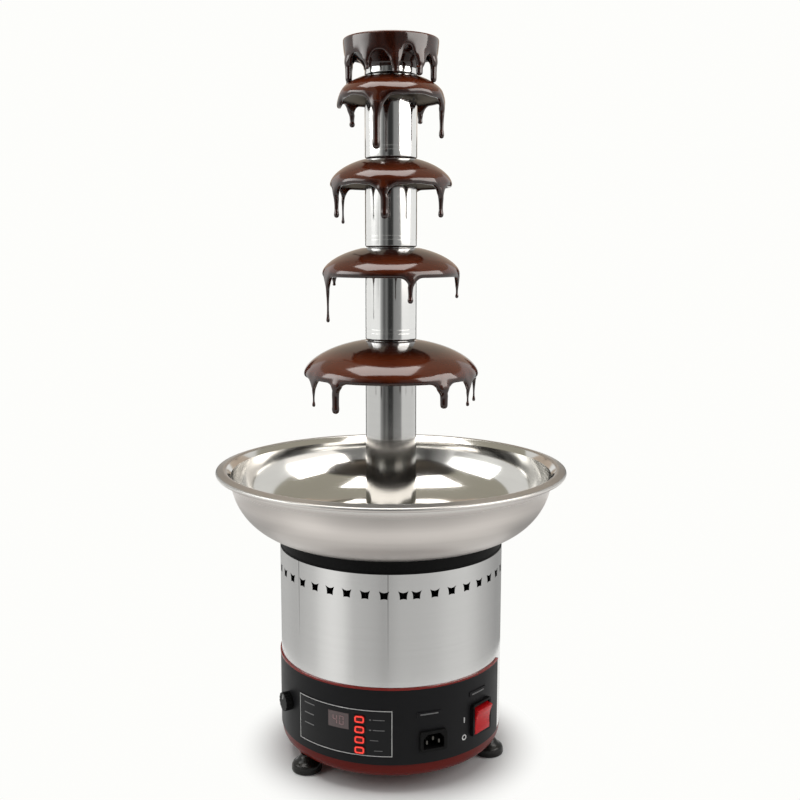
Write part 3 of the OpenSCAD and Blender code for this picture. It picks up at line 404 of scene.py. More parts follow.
def start_finish(name):
    """A new material with its node tree and its shader."""
    made = bpy.data.materials.new(name)
    made.use_nodes = True
    return made, *opened(made)


def feed(tree, shader, **sockets):
    """Fills the shader's sockets, named with underscores."""
    fill(tree, shader, {key.replace("_", " "): value for key, value in sockets.items()})


def tilt_up(tree):
    """How far a face looks up: 1 for a floor, 0 for a wall and -1 for an underside."""
    return parts(tree, add(tree, "NewGeometry").outputs["Normal"])[2]


WARM, LIP_SHADE, DULL_OUTSIDE, LIP_R = (1.03, 0.98, 0.97), 0.62, 0.33, 188.5 * MM


def steel(name, dark, light, rough, scale, bump, smear=0.08, outside=None, lip=None):
    """Worked metal: grain in the bump, smears in the roughness, and maybe a duller outside and lip with painted
    shading.
    """
    made, tree, shader = start_finish(name)
    lines = add(tree, "Group", {"Scale": scale}, node_tree=grain)
    marks = add(tree, "Group", node_tree=smears)
    ripple = spread(tree, lines.outputs["Height"], 0.25, 0.75, rough * 0.85, rough * 1.15)
    dull = reckon(tree, "MULTIPLY", marks.outputs["Mask"], smear)
    colour = blend(tree, lines.outputs["Shade"], (*dark, 1), (*light, 1))
    if outside:
        tilt = tilt_up(tree)
        turned_down = spread(tree, tilt, -0.2, 0.05, outside - rough, 0.0)
        on_lip = spread(tree, off_axis(tree), lip - MM, lip, 0.0, outside - rough)
        dull = reckon(tree, "ADD", dull, reckon(tree, "MAXIMUM", turned_down, on_lip))
        # Painted light and shade: the outside is lightest half way down, darker under the lip and towards the floor
        above, below = spread(tree, tilt, -0.30, -0.12, 1.0, 0.0), spread(tree, tilt, -0.55, -0.36, 0.0, 1.0)
        shading_band = spread(tree, reckon(tree, "MINIMUM", above, below), 0.0, 1.0, -0.20, 0.18)
        faces_out = spread(tree, tilt, -0.10, -0.05, 1.0, 0.0)
        painted_shading = reckon(tree, "ADD", reckon(tree, "MULTIPLY", shading_band, faces_out), 1.0)
        colour = add(tree, "VectorMath", {0: colour, "Scale": painted_shading}, operation="SCALE").outputs[0]
        warm = add(tree, "VectorMath", {0: colour, 1: WARM}, operation="MULTIPLY").outputs[0]
        colour = blend(tree, faces_out, colour, warm)
        # Painted shade: the top of the lip is darkened towards the darker colour
        lip_top = spread(tree, tilt, 0.1, 0.4, 0.0, reckon(tree, "MULTIPLY", on_lip, 1 / (outside - rough)))
        colour = blend(tree, lip_top, colour, tuple(LIP_SHADE * c for c in dark) + (1,))
    relief = add(tree, "Bump", {"Height": lines.outputs["Height"], "Strength": bump, "Distance": 0.05 * MM})
    rough_here = reckon(tree, "ADD", ripple, dull)
    feed(tree, shader, Base_Color=colour, Metallic=1.0, Roughness=rough_here, Normal=relief.outputs[0])
    return made


# Each metal: darker and lighter colour, roughness, grain scale, bump, and where they differ smears, outside and lip
METALS = {
    "drum_steel": ((0.67, 0.665, 0.66), (0.70, 0.695, 0.69), 0.17, (30, 30, 2600), 0.35, 0.03),
    "polished_steel": ((0.56, 0.55, 0.53), (0.62, 0.61, 0.585), 0.09, (25, 25, 900), 0.03, 0.05, DULL_OUTSIDE, LIP_R),
    "tube_steel": ((0.74, 0.74, 0.735), (0.80, 0.80, 0.79), 0.11, (30, 30, 1500), 0.03, 0.03),
    "tier_steel": ((0.075, 0.064, 0.052), (0.115, 0.10, 0.083), 0.30, (40, 40, 700), 0.05),
    "inner_steel": ((0.60, 0.60, 0.59), (0.68, 0.68, 0.67), 0.22, (40, 40, 1800), 0.10),
    "zinc": ((0.56, 0.57, 0.58), (0.66, 0.66, 0.64), 0.34, (400, 400, 400), 0.15),
    "blade_metal": ((0.07, 0.068, 0.062), (0.10, 0.095, 0.086), 0.40, (800, 60, 60), 0.08),
    "bronze": ((0.45, 0.29, 0.12), (0.58, 0.40, 0.19), 0.42, (900, 900, 900), 0.40),
    "aluminium": ((0.50, 0.50, 0.51), (0.60, 0.60, 0.61), 0.46, (500, 500, 500), 0.45),
    "copper": ((0.44, 0.20, 0.08), (0.60, 0.30, 0.13), 0.30, (60, 60, 1100), 0.60),
    "gear_brass": ((0.54, 0.39, 0.16), (0.66, 0.50, 0.23), 0.26, (60, 60, 1200), 0.20),
    "rotor_iron": ((0.24, 0.24, 0.25), (0.34, 0.34, 0.34), 0.40, (60, 60, 1600), 0.35),
}
finish = {slot: steel(slot, *recipe) for slot, recipe in METALS.items()}
print("metals", len(finish))

# %% Seams of the drum
tree, shader = opened(finish["drum_steel"])
around, height, SEAM_TOP = azimuth(tree), parts(tree, place(tree))[2], 0.24
shade = shader.inputs["Base Color"].links[0].from_socket
# Each seam: azimuth, width in degrees, the height where it fades out, and strength
for az, wide, fade_z, strength in ((-51.6, 0.35, 0.16, 0.75), (-1.4, 0.5, 0.14, 0.35)):
    off = reckon(tree, "ABSOLUTE", reckon(tree, "SUBTRACT", around, math.radians(az)))
    line = spread(tree, off, math.radians(wide) / 2, math.radians(wide), strength, 0.0)
    line = reckon(tree, "MULTIPLY", line, spread(tree, height, fade_z, SEAM_TOP, 0.0, 1.0))
    shade = blend(tree, line, shade, (0.10, 0.098, 0.095, 1))
feed(tree, shader, Base_Color=shade)
print("seams on the drum")

# %% [markdown]
# ## Chocolate
# Melted chocolate is opaque and wet: a very dark brown under a clear gloss. Its colour holds painted shade: darkest on
# drops and curtains, which face sideways or down, and in a ring round the tubes under the tier above, and a redder
# brown where domes face up, so its tone follows the slope and the distance from the axis; the painted dark ring is
# wider on the wide lower domes. A slow ripple in the bump keeps the highlights from looking machined.

# %% Chocolate finish
made, tree, shader = start_finish("melted_chocolate")
here = place(tree)
slow, fine = noise(tree, here, 22.0), noise(tree, here, 240.0)
cloud = spread(tree, slow, 0.3, 0.7, 0.0, 1.0)
# Two browns: the dark one, named thick, is painted shade, and the redder one, named thin, is the lit colour
thick = blend(tree, cloud, (0.019, 0.0031, 0.0010, 1), (0.028, 0.0049, 0.0016, 1))
thin = blend(tree, cloud, (0.072, 0.0128, 0.0036, 1), (0.096, 0.0184, 0.0054, 1))
# The painted shade ring round the tubes reaches DARK_R from the axis and fades out by OPEN_R, closer in on higher domes
LOWEST_DOME_Z, NARROWER_ABOVE = 0.46, 0.10
DARK_R, OPEN_R = 0.064, 0.082
rise = reckon(tree, "SUBTRACT", parts(tree, here)[2], LOWEST_DOME_Z)
outward = reckon(tree, "ADD", off_axis(tree), reckon(tree, "MULTIPLY", rise, NARROWER_ABOVE))
clear_of_shade = spread(tree, outward, DARK_R, OPEN_R, 0.0, 1.0)
# Painted shade: faces that look up and lie clear of the ring take the lit brown, the rest the dark one
lit_share = reckon(tree, "MULTIPLY", spread(tree, tilt_up(tree), 0.0, 0.45, 0.0, 1.0), clear_of_shade)
brown = blend(tree, lit_share, thick, thin)
ripple = add(tree, "Bump", {"Height": slow, "Strength": 0.12, "Distance": 1.5 * MM})
feed(
    tree, shader, Base_Color=brown, Normal=ripple.outputs[0], Specular_IOR_Level=0.55,
    Roughness=spread(tree, fine, 0.3, 0.7, 0.09, 0.14),
)
finish["chocolate"] = made
print("made", made.name)

# %% [markdown]
# ## Plastics, paint and rubber
# These are coloured solids that differ in gloss and in how coarse their skin is. One recipe covers them: two close
# shades clouded together, the pebble effect in the bump, and on some of them pale wear on the edges.

# %% Moulded and painted finishes


def moulded(name, dark, light, rough, bump, shine=0.3, scale=1400.0, amount=0.0, worn=(0.2, 0.2, 0.2)):
    """Plastic, paint or rubber: clouded colour, a pebbled skin and pale edges."""
    made, tree, shader = start_finish(name)
    skin = add(tree, "Group", {"Scale": scale}, node_tree=pebble)
    rubbed = add(tree, "Group", {"Amount": amount}, node_tree=wear)
    marks = add(tree, "Group", node_tree=smears)
    colour = blend(tree, skin.outputs["Shade"], (*dark, 1), (*light, 1))
    relief = add(tree, "Bump", {"Height": skin.outputs["Height"], "Strength": bump, "Distance": 0.08 * MM})
    feed(
        tree, shader, Normal=relief.outputs[0], Specular_IOR_Level=shine,
        Base_Color=blend(tree, rubbed.outputs["Mask"], colour, (*worn, 1)),
        Roughness=spread(tree, marks.outputs["Mask"], 0.0, 1.0, rough * 0.92, rough * 1.12),
    )
    return made


SOOT, WEAR = (0.03, 0.03, 0.031), 0.12
# Each one: darker and lighter colour, roughness, bump, and where they differ shine, skin scale, wear and its colour
MOULDED = {
    "tray_red": ((0.115, 0.007, 0.004), (0.14, 0.0092, 0.0055), 0.30, 0.04, 0.12, 700),
    "panel_black": ((0.0085, 0.0085, 0.0095), (0.01, 0.01, 0.011), 0.42, 0.06, 0.10),
    "overlay_black": ((0.008, 0.008, 0.009), (0.0095, 0.0095, 0.0105), 0.34, 0.04, 0.15, 2200),
    "trim_red": ((0.215, 0.014, 0.010), (0.250, 0.018, 0.013), 0.24, 0.03, 0.2),
    "board_green": ((0.022, 0.13, 0.05), (0.035, 0.17, 0.07), 0.42, 0.05, 0.3, 900, WEAR),
    "black_plastic": ((0.0055, 0.0055, 0.0055), (0.007, 0.007, 0.007), 0.40, 0.10, 0.07, 1400, WEAR, SOOT),
    "seal_rubber": ((0.014, 0.014, 0.014), (0.024, 0.024, 0.024), 0.62, 0.25, 0.3, 1100, WEAR),
    "ceramic": ((0.66, 0.64, 0.58), (0.76, 0.74, 0.68), 0.55, 0.20, 0.3, 1100),
    "motor_paint": ((0.05, 0.055, 0.06), (0.08, 0.085, 0.09), 0.40, 0.14, 0.3, 600, WEAR),
    "rocker_red": ((0.52, 0.004, 0.008), (0.58, 0.006, 0.011), 0.22, 0.03, 0.14),
    "key_red": ((0.085, 0.005, 0.004), (0.11, 0.008, 0.006), 0.30, 0.05, 0.2),
    "foot_rubber": ((0.006, 0.0058, 0.0048), (0.009, 0.0088, 0.0072), 0.28, 0.10, 0.3, 900, WEAR / 3, SOOT),
}
finish |= {slot: moulded(slot, *recipe) for slot, recipe in MOULDED.items()}
print("finishes", len(finish))

# %% [markdown]
# ## Window, lights and ink
# The display is a smoked window, the keys are lit from inside through a ring, and the panel's lines are screen-printed.
# The lit ring is an emitting colour that is a little uneven, and the ink is a thin matt white or grey.

# %% Window, light and ink finishes
made, tree, shader = start_finish("smoked_window")
haze = noise(tree, place(tree), 60.0)
feed(
    tree, shader,
    Base_Color=blend(tree, haze, (0.085, 0.058, 0.058, 1), (0.125, 0.088, 0.088, 1)),
    Roughness=spread(tree, haze, 0.2, 0.8, 0.16, 0.26),
)
finish["window_smoke"] = made


def lit(name, dim, bright, strength):
    """A lens that shines unevenly, as a lamp behind it makes it do."""
    made, tree, shader = start_finish(name)
    cloud = noise(tree, place(tree), 380.0, 1.0)
    glow = blend(tree, spread(tree, cloud, 0.3, 0.7, 0.0, 1.0), (*dim, 1), (*bright, 1))
    feed(tree, shader, Base_Color=glow, Emission_Color=glow, Emission_Strength=strength, Roughness=0.3)
    return made


key_light = lit("key_light", (0.62, 0.016, 0.008), (0.80, 0.040, 0.022), 0.8)
digit_light = lit("digit_light", (0.17, 0.09, 0.09), (0.22, 0.12, 0.12), 0.2)
ink = moulded("white_ink", (0.55, 0.55, 0.54), (0.72, 0.72, 0.71), 0.5, 0.10, scale=2600)
dim_ink = moulded("grey_ink", (0.11, 0.11, 0.11), (0.20, 0.20, 0.20), 0.5, 0.10, scale=2600)
print("lights and inks made")

# %% [markdown]
# ## Modelling helpers
# Nearly everything here was turned, spun or drawn, so nearly every piece starts as an outline that is spun round the
# axis, as the cards did. A spun outline is open along its first edge, so doubles are merged and the normals turned
# outwards before anything else is done.

# %% Outlines


def arc(middle, r, start, end, steps):
    """Points of an arc in the (radius, height) plane, angles in degrees."""
    turns = [math.radians(start + (end - start) * i / steps) for i in range(steps + 1)]
    return [(middle[0] + r * math.cos(a), middle[1] + r * math.sin(a)) for a in turns]


def curve(first, pull, last, steps):
    """Points of a curve that leaves the first point towards the pull point and ends at the last."""
    shares = [i / steps for i in range(steps + 1)]
    return [
        tuple((1 - t) ** 2 * a + 2 * t * (1 - t) * b + t * t * c for a, b, c in zip(first, pull, last)) for t in shares
    ]


def face_outwards():
    """Turns all normals outwards."""
    take_all()
    bpy.ops.mesh.normals_make_consistent(inside=False)


def smooth(piece, angle=35):
    """Smooth shading that keeps edges sharper than the angle."""
    mode("OBJECT")
    bpy.ops.object.shade_smooth_by_angle(angle=math.radians(angle))
    return piece


def turned(name, outline, steps=160, angle=35):
    """An outline spun right round the axis."""
    piece = trace(name, outline)
    spin(360, steps)
    take_all()
    bpy.ops.mesh.remove_doubles(threshold=0.001 * MM)
    face_outwards()
    return smooth(piece, angle)


def dress(piece, slot, body, *nodes, material=None):
    """Gives a finished piece its material, puts it on its body, and hides the CAD nodes that it stands for."""
    piece.data.materials.clear()
    piece.data.materials.append(material or finish[slot])
    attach(piece, body)
    if nodes:
        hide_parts(*nodes)
    print(piece.name, "on", body, "faces", len(piece.data.polygons))
    return piece


# %% [markdown]
# ## Basin
# The basin is spun from one sheet: a flat floor, a deep round corner, a short flared wall and a lip that is rolled over
# a bead. The CAD node has the same sections in short straight steps, which a mirror finish would show as rings, so it
# is spun again here with fine curves.

# %% Basin
low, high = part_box("basin")
sheet_t, hub_hole = 1.2 * MM, 12.05 * MM
lip_w, lip_fall, roll_r = 11 * MM, 2.2 * MM, 2.6 * MM
bowl_r, flare = 72 * MM, 5 * MM
lip_in = high.x - lip_w
corner = (lip_in - flare - bowl_r, low.z + bowl_r)
bead = (high.x - roll_r, high.z - lip_fall - roll_r)
wall_top = (lip_in, high.z)
basin_outline = (
    [(hub_hole, low.z)]
    + arc(corner, bowl_r, -90, 0, 40)
    + curve((lip_in - 2 * MM, high.z - 4.5 * MM), (lip_in, high.z - sheet_t), (lip_in + 2.5 * MM, high.z - 1.9 * MM), 6)
    + arc(bead, roll_r, 165, 450, 26)
    + curve((lip_in + 3 * MM, high.z - 0.6 * MM), wall_top, (lip_in - 1.6 * MM, high.z - 2.6 * MM), 8)
    + arc(corner, bowl_r - sheet_t, 0, -90, 40)
    + [(hub_hole, low.z + sheet_t)]
)
dress(turned("basin_bowl", basin_outline, steps=224), "polished_steel", "base", "basin")

# %% [markdown]
# ## Tubes of the tower
# Each upper tube slides over the barrel, so its lower end is rounded in to meet it, and two fine lines are turned just
# above. The lines are real grooves in the outline, because a groove catches the light in a way that a bump does not.

# %% Tubes
slip_r, tube_r, tube_t = 24.3 * MM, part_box("sleeve_2")[1].x, 1 * MM
end_h, line_w, line_deep = 2.6 * MM, 0.7 * MM, 0.4 * MM
line_rises = (8.4 * MM, 12.6 * MM)
# How far the chocolate stands above each tier's top next to the tube
HEAP = {1: 3.0 * MM, 2: 1.6 * MM, 3: 3.4 * MM, 4: 4.6 * MM}


def tube_foot(foot_z, stand):
    """Outlines of a tube end that stands in chocolate and is round above it: outside going up, inside coming down."""
    def quarter(r_from, r_to, z, h):
        turns = [math.radians(90 * i / 10) for i in range(11)]
        return [(r_from + (r_to - r_from) * math.sin(a), z + h * (1 - math.cos(a))) for a in turns]

    round_z = foot_z + stand
    outside = [(slip_r, foot_z), (slip_r + tube_t, foot_z)] + quarter(slip_r + tube_t, tube_r, round_z, end_h)
    for rise in line_rises:
        z = round_z + rise
        outside += [(tube_r, z), (tube_r - line_deep, z + 0.1 * MM)]
        outside += [(tube_r - line_deep, z + line_w - 0.1 * MM), (tube_r, z + line_w)]
    inside = quarter(slip_r, tube_r - tube_t, round_z + tube_t, end_h - tube_t)[::-1]
    return outside, inside


for k in (2, 3, 4):
    low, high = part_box(f"sleeve_{k}")
    outside, inside = tube_foot(low.z, HEAP[k - 1])
    outline = outside + [(tube_r, high.z), (tube_r - tube_t, high.z)] + inside
    dress(turned(f"tube_{k}", outline, steps=144, angle=28), "tube_steel", f"tower_{k}", f"sleeve_{k}")

# %% [markdown]
# ## Crown cup
# The crown is a tube end that opens into a cup. It is one outline too: rounded foot, neck, flared side, over the rim,
# and back down the inside to the barrel's mouth.

# %% Crown cup
low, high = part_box("crown_cup")
cup_r, cup_t, cup_lift = high.x, 1.2 * MM, 0.6 * MM
neck_h, cup_floor_t = 17 * MM, 1.6 * MM
cup_z = low.z + neck_h
cup_h = high.z - cup_lift - cup_z


def cup_side(share):
    """Radius and height of the cup's outside at a share of its depth."""
    return tube_r + (cup_r - tube_r) * share ** 0.8, cup_z + cup_h * share


outside, inside = tube_foot(low.z, HEAP[4])
side = [cup_side(i / 20) for i in range(21)]
cup_outline = (
    outside + side + [(r - cup_t, z + cup_lift) for r, z in side[::-1]]
    + [(slip_r, cup_z + cup_lift), (slip_r, cup_z - cup_floor_t), (tube_r - tube_t, cup_z - cup_floor_t)] + inside
)
dress(turned("crown_bowl", cup_outline, steps=144, angle=28), "tube_steel", "crown", "crown_cup")

# %% [markdown]
# ## Tiers
# Under its chocolate each tier is a thin pressed dome with a hole for the barrel. Its outside hardly shows, but the
# upper tiers hang above the lens, so their undersides do.

# %% Tiers
shoulder_r, tier_t, cap_t = 32 * MM, 1 * MM, 1.6 * MM


def dome(rim_r, rim_z, rise, steps, power=1.0):
    """A dome's outline from its rim in to its shoulder, on an ellipse about the axis, or more pointed than that."""
    end = math.acos(shoulder_r / rim_r)
    turns = [end * i / steps for i in range(steps + 1)]
    return [(rim_r * math.cos(a), rim_z + rise * (math.sin(a) / math.sin(end)) ** power) for a in turns]


tiers = {}
for k in (1, 2, 3, 4):
    low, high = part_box(f"tier_{k}")
    tiers[k] = (high.x, low.z, high.z)
    outer = dome(high.x, low.z, high.z - low.z, 26)
    inner = dome(high.x - tier_t, low.z, high.z - cap_t - low.z, 26)
    outline = outer + [(slip_r, high.z), (slip_r, high.z - cap_t)] + inner[::-1]
    dress(turned(f"dome_{k}", outline), "tier_steel", f"tower_{k}", f"tier_{k}")

# %% [markdown]
# ## Chocolate coats
# A coat is a skin over the dome that ends in a round bead under the rim, with drops running off it. Metaballs or a
# voxel remesh could melt drops and skin together, but both leave a faint grid in such a glossy surface. Here the skin
# is a coarse spun cage. A face of the bead is widened and pulled down with its neighbours for the web above a drop,
# then extruded and scaled for the drop itself, and a subdivision surface rounds it all off.

# %% Pulling drops from a bead
cell = 3.4 * MM


def pick_face(piece, target):
    """Selects, in edit mode, the downward face whose middle is nearest to a point."""
    mode("EDIT")
    bpy.ops.mesh.select_mode(type="FACE")
    bpy.ops.mesh.select_all(action="DESELECT")
    mode("OBJECT")
    downward = [p for p in piece.data.polygons if p.normal.z < -0.7]
    nearest = min(downward, key=lambda p: (p.center - target).length)
    nearest.select = True
    middle = nearest.center.copy()
    mode("EDIT")
    return middle


def softly(falloff, reach):
    """Settings that let the faces round a picked one follow it."""
    return {
        "use_proportional_edit": True, "use_proportional_connected": True,
        "proportional_edit_falloff": falloff, "proportional_size": reach,
    }


def pull(piece, target, drop, reach):
    """Moves the bead near a point down, or up where drop is negative, with a soft falloff."""
    pick_face(piece, target)
    bpy.ops.transform.translate(value=(0, 0, -drop), **softly("SMOOTH", reach))


def run_down(piece, target, sag, reach, tip_z, drop_r, neck=None):
    """Draws the bead near a point down into a web, and the web's middle out into a drop that ends at tip_z."""
    middle = pick_face(piece, target)
    fat = drop_r * 1.07
    thin = fat * (neck or min(0.92, 0.52 + 0.18 * (drop_r / MM - 2)))
    root = max(1.0, fat / (cell / 2))
    bpy.ops.transform.resize(value=(root, root, 1), center_override=middle, **softly("SMOOTH", fat))
    bpy.ops.transform.translate(value=(0, 0, -sag), **softly("SHARP", reach))
    at_z, wide = middle.z - sag, root * cell / 2
    length = at_z - tip_z
    stem = ((0.12, fat), (0.3, (fat + 2 * thin) / 3), (0.5, thin), (0.7, thin))
    tip = ((2.4, (fat + thin) / 2), (1.3, fat * 1.03), (0.4, fat * 0.9), (0, fat * 0.35))
    stages = [(at_z - share * length, r) for share, r in stem] + [(tip_z + up * drop_r, r) for up, r in tip]
    shift = Vector((target.x - middle.x, target.y - middle.y, 0))
    for z, r in stages:
        if z > at_z - 0.3 * MM:
            continue
        bpy.ops.mesh.extrude_region_move(TRANSFORM_OT_translate={"value": shift + Vector((0, 0, z - at_z))})
        bpy.ops.transform.resize(value=(r / wide, r / wide, 1), center_override=(target.x, target.y, z))
        wide, at_z, shift = r, z, Vector()


def rounded(piece):
    """Rounds a cage off with a subdivision surface, and applies it."""
    mode("OBJECT")
    bpy.ops.object.modifier_add(type="SUBSURF")
    layer = piece.modifiers[-1]
    layer.levels = layer.render_levels = 2
    bpy.ops.object.modifier_apply(modifier=layer.name)
    return smooth(piece, 180)


# %% Coats of the tiers
coat_t, touch = 2.2 * MM, 0.05 * MM
# Each drop: azimuth, length below the rim, radius, and how far and how wide the bead sags above it, in millimetres
DRIPS = {
    1: [
        (-62, 34, 2.0, 10, 10), (-38, 37, 4.2, 7, 9), (36, 31, 4.6, 10, 11), (61, 33, 2.0, 11, 11), (97, 36, 2.0, 9, 9),
        (150, 23, 3.6, 7, 9), (-155, 24, 3.0, 7, 9),
    ],
    2: [
        (-69, 54, 2.2, 12, 11), (-118, 16, 2.6, 4, 7), (16, 31, 3.2, 7, 9), (80, 28, 2.2, 8, 9), (165, 33, 2.8, 7, 9),
        (-163, 30, 2.4, 7, 9),
    ],
    3: [
        (-66, 38, 3.2, 10, 11), (-122, 43, 2.0, 8, 9), (-6, 40, 4.4, 9, 12), (56, 38, 3.2, 10, 11),
        (160, 30, 3.4, 7, 10), (-165, 34, 2.6, 7, 9),
    ],
    4: [
        (-129, 28, 3.4, 8, 9), (-16, 60, 4.5, 16, 13), (76, 45, 3.2, 12, 12), (144, 23, 3.4, 8, 9),
    ],
}
# Places where the bead of the two upper tiers is drawn up between drops, or hangs in a lobe: azimuth, rise, width
DRAWN_UP = {3: ((-36, 1.2, 14), (26, 1.2, 14)), 4: ((-47, 1.8, 12), (32, 1.6, 18), (-88, -8, 22), (92, -5, 18))}

for k, (rim_r, rim_z, top_z) in tiers.items():
    r, lift, low_z = rim_r + coat_t, rim_z + 2 * MM, rim_z - 2.1 * MM
    outer = dome(r, lift, top_z + HEAP[k] - lift, 9, power=1.2)
    skin = [(x + touch, z + touch) for x, z in dome(rim_r, rim_z, top_z - rim_z, 7)]
    heap = [(29 * MM, top_z + 0.96 * HEAP[k]), (26.4 * MM, top_z + 0.85 * HEAP[k]), (25.7 * MM, top_z + touch)]
    outline = (
        outer + heap + skin[::-1]
        + [(rim_r - 1.6 * MM, rim_z - touch), (rim_r - 2.3 * MM, rim_z - 1.1 * MM), (rim_r - 1.9 * MM, low_z)]
        + [(rim_r + 1.2 * MM, low_z), (r, rim_z)]
    )
    piece = turned(f"chocolate_{k}", outline, steps=round(2 * math.pi * rim_r / cell), angle=180)
    for az, up, reach in DRAWN_UP.get(k, ()):
        pull(piece, spot(az, rim_r, low_z), -up * MM, reach * MM)
    for az, length, drop_r, sag, reach in DRIPS[k]:
        run_down(piece, spot(az, rim_r - 0.6 * MM, low_z), sag * MM, reach * MM, lift - length * MM, drop_r * MM)
    dress(rounded(piece), "chocolate", f"tower_{k}", f"coat_{k}")

# %% [markdown]
# ## Crown coat
# Chocolate wells out of the barrel into the cup, rolls over its rim and falls as a curtain, which gathers into pointed
# webs and drops. The cage is made the same way as a tier's coat, with the curtain hanging free of the cup, and three
# streams run on down to the top tier.

# %% Crown coat
rim_z, film_t = cup_z + cup_h, 0.9 * MM
lining = [(r - cup_t - touch, z + cup_lift + touch) for r, z in (cup_side(1 - i / 4) for i in range(5))]
mouth_z, mouth_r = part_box("barrel")[1].z + touch, 22.9 * MM
pool = [(slip_r, cup_z + cup_lift + touch), (slip_r, mouth_z), (mouth_r, mouth_z), (mouth_r, rim_z - 1.4 * MM)]
pool += [(slip_r + 3 * MM, rim_z - 0.9 * MM)]
crest = [(-9, 0.6), (-3, 2.0), (-0.2, 2.1), (0.9, 0.9)]
curtain = [(1.0, -1.5), (0.5, -7), (0, -12), (-0.7, -15.6), (-1.3, -17), (-4.1, -17), (-4.7, -15), (-4.2, -10)]
film = [(r + film_t, z) for r, z in (cup_side(s) for s in (0.74, 0.5, 0.26, 0.04))]
film += [(tube_r + film_t, cup_z - 2 * MM), (tube_r + film_t, cup_z - 5 * MM)]
skin = [(tube_r + touch, cup_z - 5 * MM), (tube_r + touch, cup_z - 2 * MM)]
skin += [(r + touch, z) for r, z in (cup_side(s) for s in (0.04, 0.26, 0.5, 0.74, 0.96))]
outline = (
    [(cup_r + touch, rim_z + cup_lift + touch)] + lining + pool
    + [(cup_r + x * MM, rim_z + z * MM) for x, z in crest + curtain] + film + skin
)
piece = turned("chocolate_crown", outline, steps=round(2 * math.pi * cup_r / cell), angle=180)
CROWN_DRIPS = [
    (-31, 36, 3.0, 11, 9), (6, 41, 4.2, 17, 10), (38, 42, 4.2, 15, 10), (108, 30, 3.0, 9, 9), (150, 37, 3.8, 12, 10),
    (-150, 32, 3.2, 10, 9),
]
STREAMS, stream_r, stream_sag = (-70, 70, -108), 4.2 * MM, 12 * MM
edge_r, edge_z = cup_r - 2.7 * MM, rim_z - 17 * MM
pull(piece, spot(21, edge_r, edge_z), -5 * MM, 8 * MM)
for az, length, drop_r, sag, reach in CROWN_DRIPS:
    run_down(piece, spot(az, edge_r, edge_z), sag * MM, reach * MM, rim_z - length * MM, drop_r * MM)
stream_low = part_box("crown_coat")[0].z
for az in STREAMS:
    run_down(piece, spot(az, edge_r, edge_z), stream_sag, 10 * MM, stream_low, stream_r, neck=0.95)
dress(rounded(piece), "chocolate", "crown", "crown_coat")

# %% [markdown]
# ## Chocolate in the barrel
# Seen from above, the barrel is full: the auger pushes a column of chocolate up to the mouth, where it wells up in low
# rings. The column is a spun outline that stands on the auger's core and rides with it, a little slimmer than the bore.

# %% Chocolate in the barrel
WELL = ((22.4, -2.4), (21.6, -1.2), (19, -0.6), (15.5, -0.5), (12, 0.1), (8.5, 0.1), (5, 0.7), (2, 1.0), (0, 1.0))
column_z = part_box("auger_core")[1].z - 3 * MM
outline = [(0, column_z), (21.4 * MM, column_z), (22.4 * MM, column_z + 1.5 * MM)]
outline += [(r * MM, rim_z + z * MM) for r, z in WELL]
dress(turned("chocolate_well", outline, steps=96, angle=180), "chocolate", "auger")

# %% [markdown]
# ## Feet
# A foot is a rubber bell moulded on a threaded stud. The CAD node has its steps, and the real one is softer: a heavy
# round skirt, a waist, and a dome above. It is spun once at the axis, and the three feet are copies with meshes of
# their own, each moved to its place.

# %% Feet
BELL = [
    (0, 0), (13.6, 0), (15.4, 0.3), (16.5, 1.2), (17, 2.6), (16.9, 5.2), (16.6, 7.6), (15.9, 9.4), (14.6, 10.7),
    (13, 11.6), (11.4, 12.9), (10, 14.6), (8.8, 16.4), (7.6, 17.8), (6.6, 18.6), (6.4, 19.2), (6.4, 19.7), (3, 19.7),
]
STUD = [z / 2 for z in range(41, 75)]
thread = [(3.0 - 0.25 * (i % 2), z) for i, z in enumerate(STUD)]
outline = [(r * MM, z * MM) for r, z in BELL + thread + [(2.4, 38), (0, 38)]]
bell = turned("foot_bell", outline, steps=72, angle=40)


def alone(piece):
    """Selects one piece and makes it the active one."""
    bpy.ops.object.select_all(action="DESELECT")
    piece.select_set(True)
    bpy.context.view_layer.objects.active = piece


for name in ("foot_left", "foot_right", "foot_rear"):
    low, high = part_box(name)
    foot = bell.copy()
    foot.data = bell.data.copy()
    foot.name = foot.data.name = name.replace("foot", "bell")
    scene.collection.objects.link(foot)
    alone(foot)
    foot.location = ((low.x + high.x) / 2, (low.y + high.y) / 2, low.z)
    bpy.ops.object.transform_apply(location=True)
    dress(foot, "foot_rubber", name, name)
bpy.data.objects.remove(bell)

# %% [markdown]
# ## Rocker
# The rocker is a bent bar of red plastic that tips about a pin. Its side view is drawn as a wire, filled, pulled to its
# width, and every edge is rounded with a bevel. It is drawn at the front, tipped to its resting end, and then turned
# round the drum to its place.

# %% Rocker
rocker_w, rocker_h, crest_h, end_h_out, belly = 27 * MM, 29 * MM, 6.3 * MM, 8.34 * MM, 3 * MM
pivot_d, pin_r, pin_len, tip = 127.85 * MM, 1.5 * MM, 29.2 * MM, 8
low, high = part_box("rocker")
switch_z = (low.z + high.z) / 2
switch_az = 49.4
half = rocker_h / 2
side_view = [
    (end_h_out, half), (crest_h + 0.25 * MM, half / 3), (crest_h, 0), (crest_h + 0.25 * MM, -half / 3),
    (end_h_out, -half), (0, -half), (-belly, -half / 2), (-belly, half / 2), (0, half),
]


